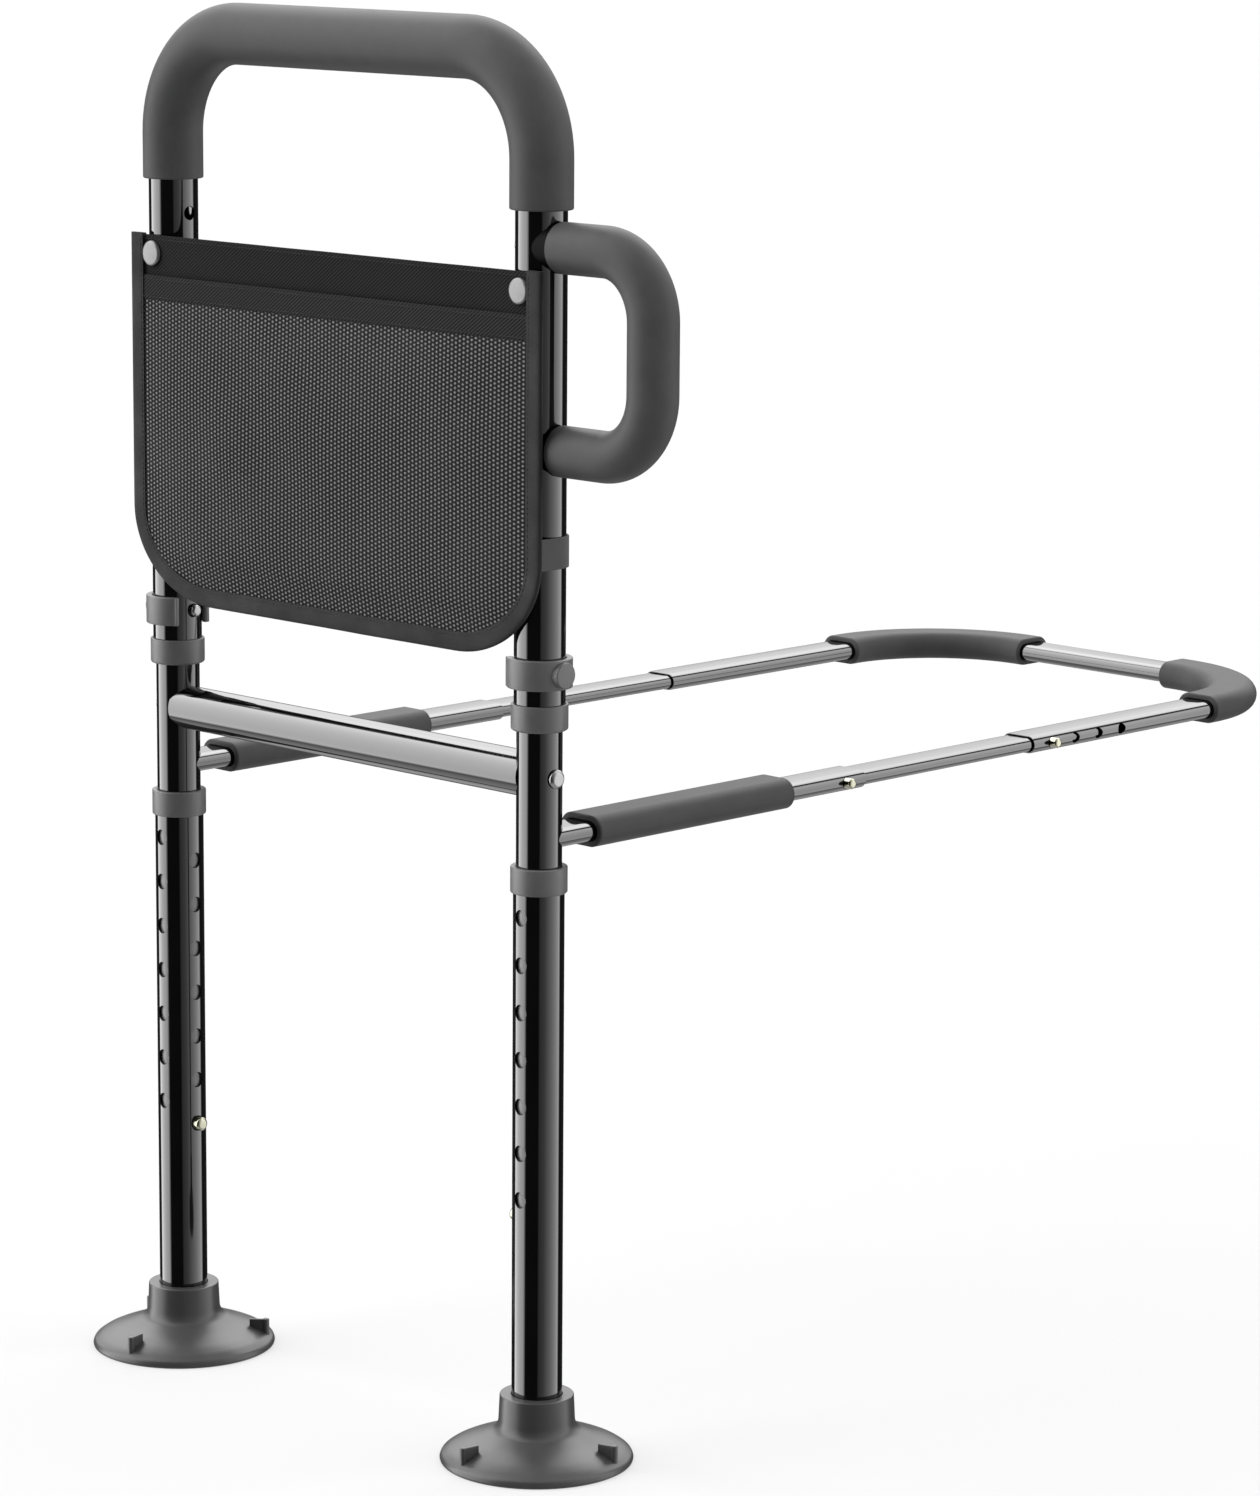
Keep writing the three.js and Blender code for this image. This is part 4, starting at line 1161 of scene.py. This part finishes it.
def edge_frames(inset, top, steps=28):
    points = pouch_edge(inset, top, steps)
    frames = []
    for i, (x, z) in enumerate(points):
        ax, az = points[max(i - 1, 0)]
        bx, bz = points[min(i + 1, len(points) - 1)]
        dx, dz = bx - ax, bz - az
        length = math.hypot(dx, dz)
        frames.append(((x, z), (-dz / length, dx / length)))
    return frames


def build_binding():
    """Folded tape round the sides and bottom: front leaf, rolled outer edge, back leaf."""
    frames = edge_frames(0.9 * MM, POUCH_TOP + 1.4 * MM, 36)
    leaf = BINDING_W
    section_points = []
    front, back = -2.55 * MM, 0.85 * MM
    for u in np.linspace(leaf, 1.2 * MM, 6):
        puff = 0.25 * MM * math.sin(math.pi * (u / leaf) ** 0.8)
        section_points.append((u, front - puff))
    middle, r = (front + back) / 2, (back - front) / 2
    for k in range(1, 8):
        a = math.pi * k / 8
        section_points.append((1.2 * MM - math.sin(a) * r * 1.1, middle - r * math.cos(a)))
    for u in np.linspace(1.2 * MM, leaf, 4):
        section_points.append((u, back))
    section_points.append((leaf, back - 0.7 * MM))
    section_points.append((1.5 * MM, back - 0.8 * MM))
    section_points.append((1.5 * MM, front + 0.9 * MM))
    section_points.append((leaf, front + 0.75 * MM))
    verts, faces = [], []
    n = len(section_points)
    for (x, z), (nx, nz) in frames:
        for u, y in section_points:
            px, pz = x + nx * u, z + nz * u
            verts.append((px, back_front_y(px, pz) + y, pz))
    for i in range(len(frames) - 1):
        for k in range(n):
            m = (k + 1) % n
            faces.append((i * n + k, i * n + m, (i + 1) * n + m, (i + 1) * n + k))
    faces.append(tuple(range(n)))
    faces.append(tuple(range((len(frames) - 1) * n, len(frames) * n)))
    return new_piece("pouch_edge_tape", verts, faces, "frame", (), BINDING, 50)


def build_stitches():
    """Lock stitches along the binding's inner edge and along both edges of the hem."""
    lines = []
    pitch = 3.4 * MM
    frames = edge_frames(BINDING_W - 0.8 * MM, POUCH_TOP - 1 * MM, 60)
    path = [Vector((x, back_front_y(x, z) - 2.72 * MM, z)) for (x, z), _ in frames]
    lines.append(path)
    half = POUCH_HALF_W - BINDING_W
    for z, surface in ((HEM_BOTTOM + 1.6 * MM, front_y), (POUCH_TOP - 2.2 * MM, back_front_y),
                       (HEM_TOP - 1.8 * MM, front_y)):
        lines.append([Vector((x, surface(x, z) - 0.6 * MM, z)) for x in np.linspace(-half, half, 120)])
    verts, faces = [], []
    for path in lines:
        stitch_line(path, pitch, verts, faces)
    return [new_piece("pouch_stitches", verts, faces, "frame", (), THREAD, 60)]


def stitch_line(path, pitch, verts, faces):
    lengths = [0.0]
    for a, b in zip(path, path[1:]):
        lengths.append(lengths[-1] + (b - a).length)
    total = lengths[-1]
    xs = [[p[i] for p in path] for i in range(3)]

    def point(s):
        return Vector([float(np.interp(s, lengths, c)) for c in xs])

    count = int(total / pitch)
    r = 0.22 * MM
    for i in range(count):
        a = point(i * pitch + 0.12 * pitch)
        b = point(i * pitch + 0.88 * pitch)
        along = (b - a).normalized()
        out = Vector((0, -1, 0))
        side = along.cross(out).normalized()
        base = len(verts)
        rows = 5
        for k in range(rows):
            t = k / (rows - 1)
            c = a.lerp(b, t) + out * (0.16 * MM * math.sin(math.pi * t) - 0.1 * MM)
            width = r * (0.55 + 0.45 * math.sin(math.pi * t))
            for m in range(6):
                q = 2 * math.pi * m / 6
                verts.append(c + side * (width * math.cos(q)) + out * (width * math.sin(q)))
        for ring in range(base, base + (rows - 1) * 6, 6):
            for m in range(6):
                w = (m + 1) % 6
                faces.append((ring + m, ring + w, ring + 6 + w, ring + 6 + m))
        faces.append(tuple(base + m for m in range(6)))
        faces.append(tuple(base + (rows - 1) * 6 + m for m in range(6)))


def build_strap(name, side):
    """Webbing round the back of an upright, sewn to the pouch's back at both ends."""
    node = "pouch_strap_" + name
    low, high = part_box(node)
    x = side * UPRIGHT_X
    r, t = TUBE_R + 0.25 * MM, 1.4 * MM
    end_y = POUCH_BACK_Y + 0.2 * MM
    half_turn = [(r * math.cos(a), r * math.sin(a)) for a in np.linspace(0, math.pi, 40)]
    path = [(r, end_y), *half_turn, (-r, end_y)]
    normals = []
    for i in range(len(path)):
        ax, ay = path[max(i - 1, 0)]
        bx, by = path[min(i + 1, len(path) - 1)]
        d = Vector((bx - ax, by - ay)).normalized()
        normals.append(Vector((d.y, -d.x)))
    height = high.z - low.z
    across = rounded([(0, 0), (t, 0), (t, height), (0, height)],
                     [0.3 * MM, 0.45 * MM, 0.45 * MM, 0.3 * MM], 3)
    verts, faces = [], []
    n = len(across)
    for (px, py), normal in zip(path, normals):
        for u, z in across:
            verts.append((x + px + normal.x * u, py + normal.y * u, low.z + z))
    for i in range(len(path) - 1):
        for k in range(n):
            m = (k + 1) % n
            faces.append((i * n + k, i * n + m, (i + 1) * n + m, (i + 1) * n + k))
    faces.append(tuple(range(n)))
    faces.append(tuple(range((len(path) - 1) * n, len(path) * n)))
    strap = new_piece("loop_strap_" + name, verts, faces, "frame", [node], WEBBING, 50)


# ---------- stage, light and camera ----------
def build_stage():
    mesh = bpy.data.meshes.new("floor")
    reach = 40.0
    mesh.from_pydata([(-reach, -reach, FLOOR_Z), (reach, -reach, FLOOR_Z), (reach, reach, FLOOR_Z),
                      (-reach, reach, FLOOR_Z)], [], [(0, 1, 2, 3)])
    floor = bpy.data.objects.new("floor", mesh)
    bpy.context.scene.collection.objects.link(floor)
    material, tree, shader = node_material("pale_floor")
    n = Nodes(tree)
    tree.links.new(n.ramp(n.noise(0.8, 3.0), [(0.3, grey(0.128)), (0.7, grey(0.134))]),
                   shader.inputs["Base Color"])
    shader.inputs["Roughness"].default_value = 0.9
    shader.inputs["Specular IOR Level"].default_value = 0.0
    shader.inputs["Emission Color"].default_value = (1, 1, 1, 1)
    shader.inputs["Emission Strength"].default_value = 0.565
    mesh.materials.append(material)
    floor.visible_glossy = False


YAW = math.radians(44.241)
PITCH = math.radians(10.686)
ROLL = math.radians(0.4316)
CAMERA_AT = (2.3113, -2.1190, 1.0251)  # the height is above the floor
LENS = 120.0


def build_camera():
    back = Vector((math.sin(YAW) * math.cos(PITCH), -math.cos(YAW) * math.cos(PITCH), math.sin(PITCH)))
    right = Vector((math.cos(YAW), math.sin(YAW), 0))
    up = right.cross(-back)
    turned_right = right * math.cos(ROLL) + up * math.sin(ROLL)
    turned_up = up * math.cos(ROLL) - right * math.sin(ROLL)
    rotation = Matrix((turned_right, turned_up, back)).transposed().to_4x4()
    data = bpy.data.cameras.new("camera")
    data.sensor_fit = "AUTO"
    data.sensor_width = 36.0
    data.lens = LENS
    data.clip_end = 200.0
    camera = bpy.data.objects.new("camera", data)
    place = Vector(CAMERA_AT) + Vector((0, 0, FLOOR_Z))
    camera.matrix_world = Matrix.Translation(place) @ rotation
    bpy.context.scene.collection.objects.link(camera)
    bpy.context.scene.camera = camera


def degrees_ramp(n, value, stops, low=-180.0, high=180.0):
    """A grey ramp over an angle in degrees."""
    top = max(level for _, level in stops)
    scaled = n.spread(value, low, high, 0.0, 1.0)
    at = [((a - low) / (high - low), grey(level / top)) for a, level in stops]
    return n.math("MULTIPLY", n.ramp(scaled, at), top)


def build_light():
    """Studio of large soft boxes: one each side, one behind and above, dim elsewhere."""
    world = bpy.data.worlds.new("studio")
    bpy.context.scene.world = world
    world.use_nodes = True
    tree = world.node_tree
    tree.nodes.clear()
    n = Nodes(tree)
    output = n.add("ShaderNodeOutputWorld")
    direction = n.add("ShaderNodeSeparateXYZ")
    tree.links.new(n.add("ShaderNodeTexCoord").outputs["Generated"], direction.inputs[0])
    dx, dy, dz = direction.outputs
    front = n.math("ADD", n.math("MULTIPLY", dx, math.sin(YAW)), n.math("MULTIPLY", dy, -math.cos(YAW)))
    across = n.math("ADD", n.math("MULTIPLY", dx, math.cos(YAW)), n.math("MULTIPLY", dy, math.sin(YAW)))
    turn = n.math("MULTIPLY", n.math("ARCTAN2", across, front), 180 / math.pi)
    rise = n.math("MULTIPLY", n.math("ARCSINE", dz), 180 / math.pi)
    sides = degrees_ramp(n, turn, [(-180, 0), (-122, 0), (-118, 10.2), (-66, 8.2), (-55, 0), (2, 0),
                                   (7, 0.6), (29, 1.1), (60, 3.2), (104, 6.6), (112, 0.0), (180, 0)])
    side_rise = degrees_ramp(n, rise, [(-90, 0), (-34, 0), (-29, 0.75), (0, 1.0), (45, 1.25), (70, 0.4),
                                   (90, 0.0)], -90, 90)
    behind = degrees_ramp(n, turn, [(-180, 1), (-131, 1), (-124, 0), (120, 0), (128, 1), (180, 1)])
    behind_rise = degrees_ramp(n, rise, [(-90, 0), (4, 0), (8, 1.6), (20, 3.6), (35, 6.6), (47, 12.5),
                                         (52, 12.0), (58, 1.5), (90, 0.0)], -90, 90)
    below = degrees_ramp(n, rise, [(-90, 1.8), (-40, 1.8), (-30, 0.4), (-20, 0.06), (90, 0.06)], -90, 90)
    light = n.math("ADD", n.math("MULTIPLY", sides, side_rise), n.math("MULTIPLY", behind, behind_rise))
    light = n.math("ADD", light, below)
    light = n.math("ADD", light, degrees_ramp(n, rise, [(-90, 0), (60, 0), (67, 1.6), (90, 2.0)], -90, 90))
    lit = n.add("ShaderNodeBackground")
    tree.links.new(light, lit.inputs["Strength"])
    white = n.add("ShaderNodeBackground")
    white.inputs["Strength"].default_value = 1.0
    white.inputs["Color"].default_value = (1, 1, 1, 1)
    choose = n.add("ShaderNodeMixShader")
    tree.links.new(n.add("ShaderNodeLightPath").outputs["Is Camera Ray"], choose.inputs[0])
    tree.links.new(lit.outputs[0], choose.inputs[1])
    tree.links.new(white.outputs[0], choose.inputs[2])
    tree.links.new(choose.outputs[0], output.inputs["Surface"])
    bpy.context.scene.view_settings.view_transform = "Standard"
    bpy.context.scene.view_settings.look = "None"


HIDDEN_MATERIALS = {
    "side_handle_tube": BLACK, "side_handle_plug_upper": SPRING, "side_handle_plug_lower": SPRING,
    "crossbar_plug_left": PLASTIC, "crossbar_plug_right": PLASTIC,
}


def build_all():
    build_camera()
    build_stage()
    build_light()
    build_upper_frame()
    build_side_handle()
    build_crossbar()
    build_loop()
    for name, side in SIDES:
        build_uprights(name, side)
        build_clip(name, side)
        HIDDEN_MATERIALS["leg_button_spring_" + name] = SPRING
        HIDDEN_MATERIALS["loop_spring_root_" + name] = SPRING
        HIDDEN_MATERIALS["loop_spring_end_" + name] = SPRING
    build_pouch()
    for node, material in HIDDEN_MATERIALS.items():
        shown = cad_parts[node]
        shown.data.materials.clear()
        shown.data.materials.append(material)


build_all()
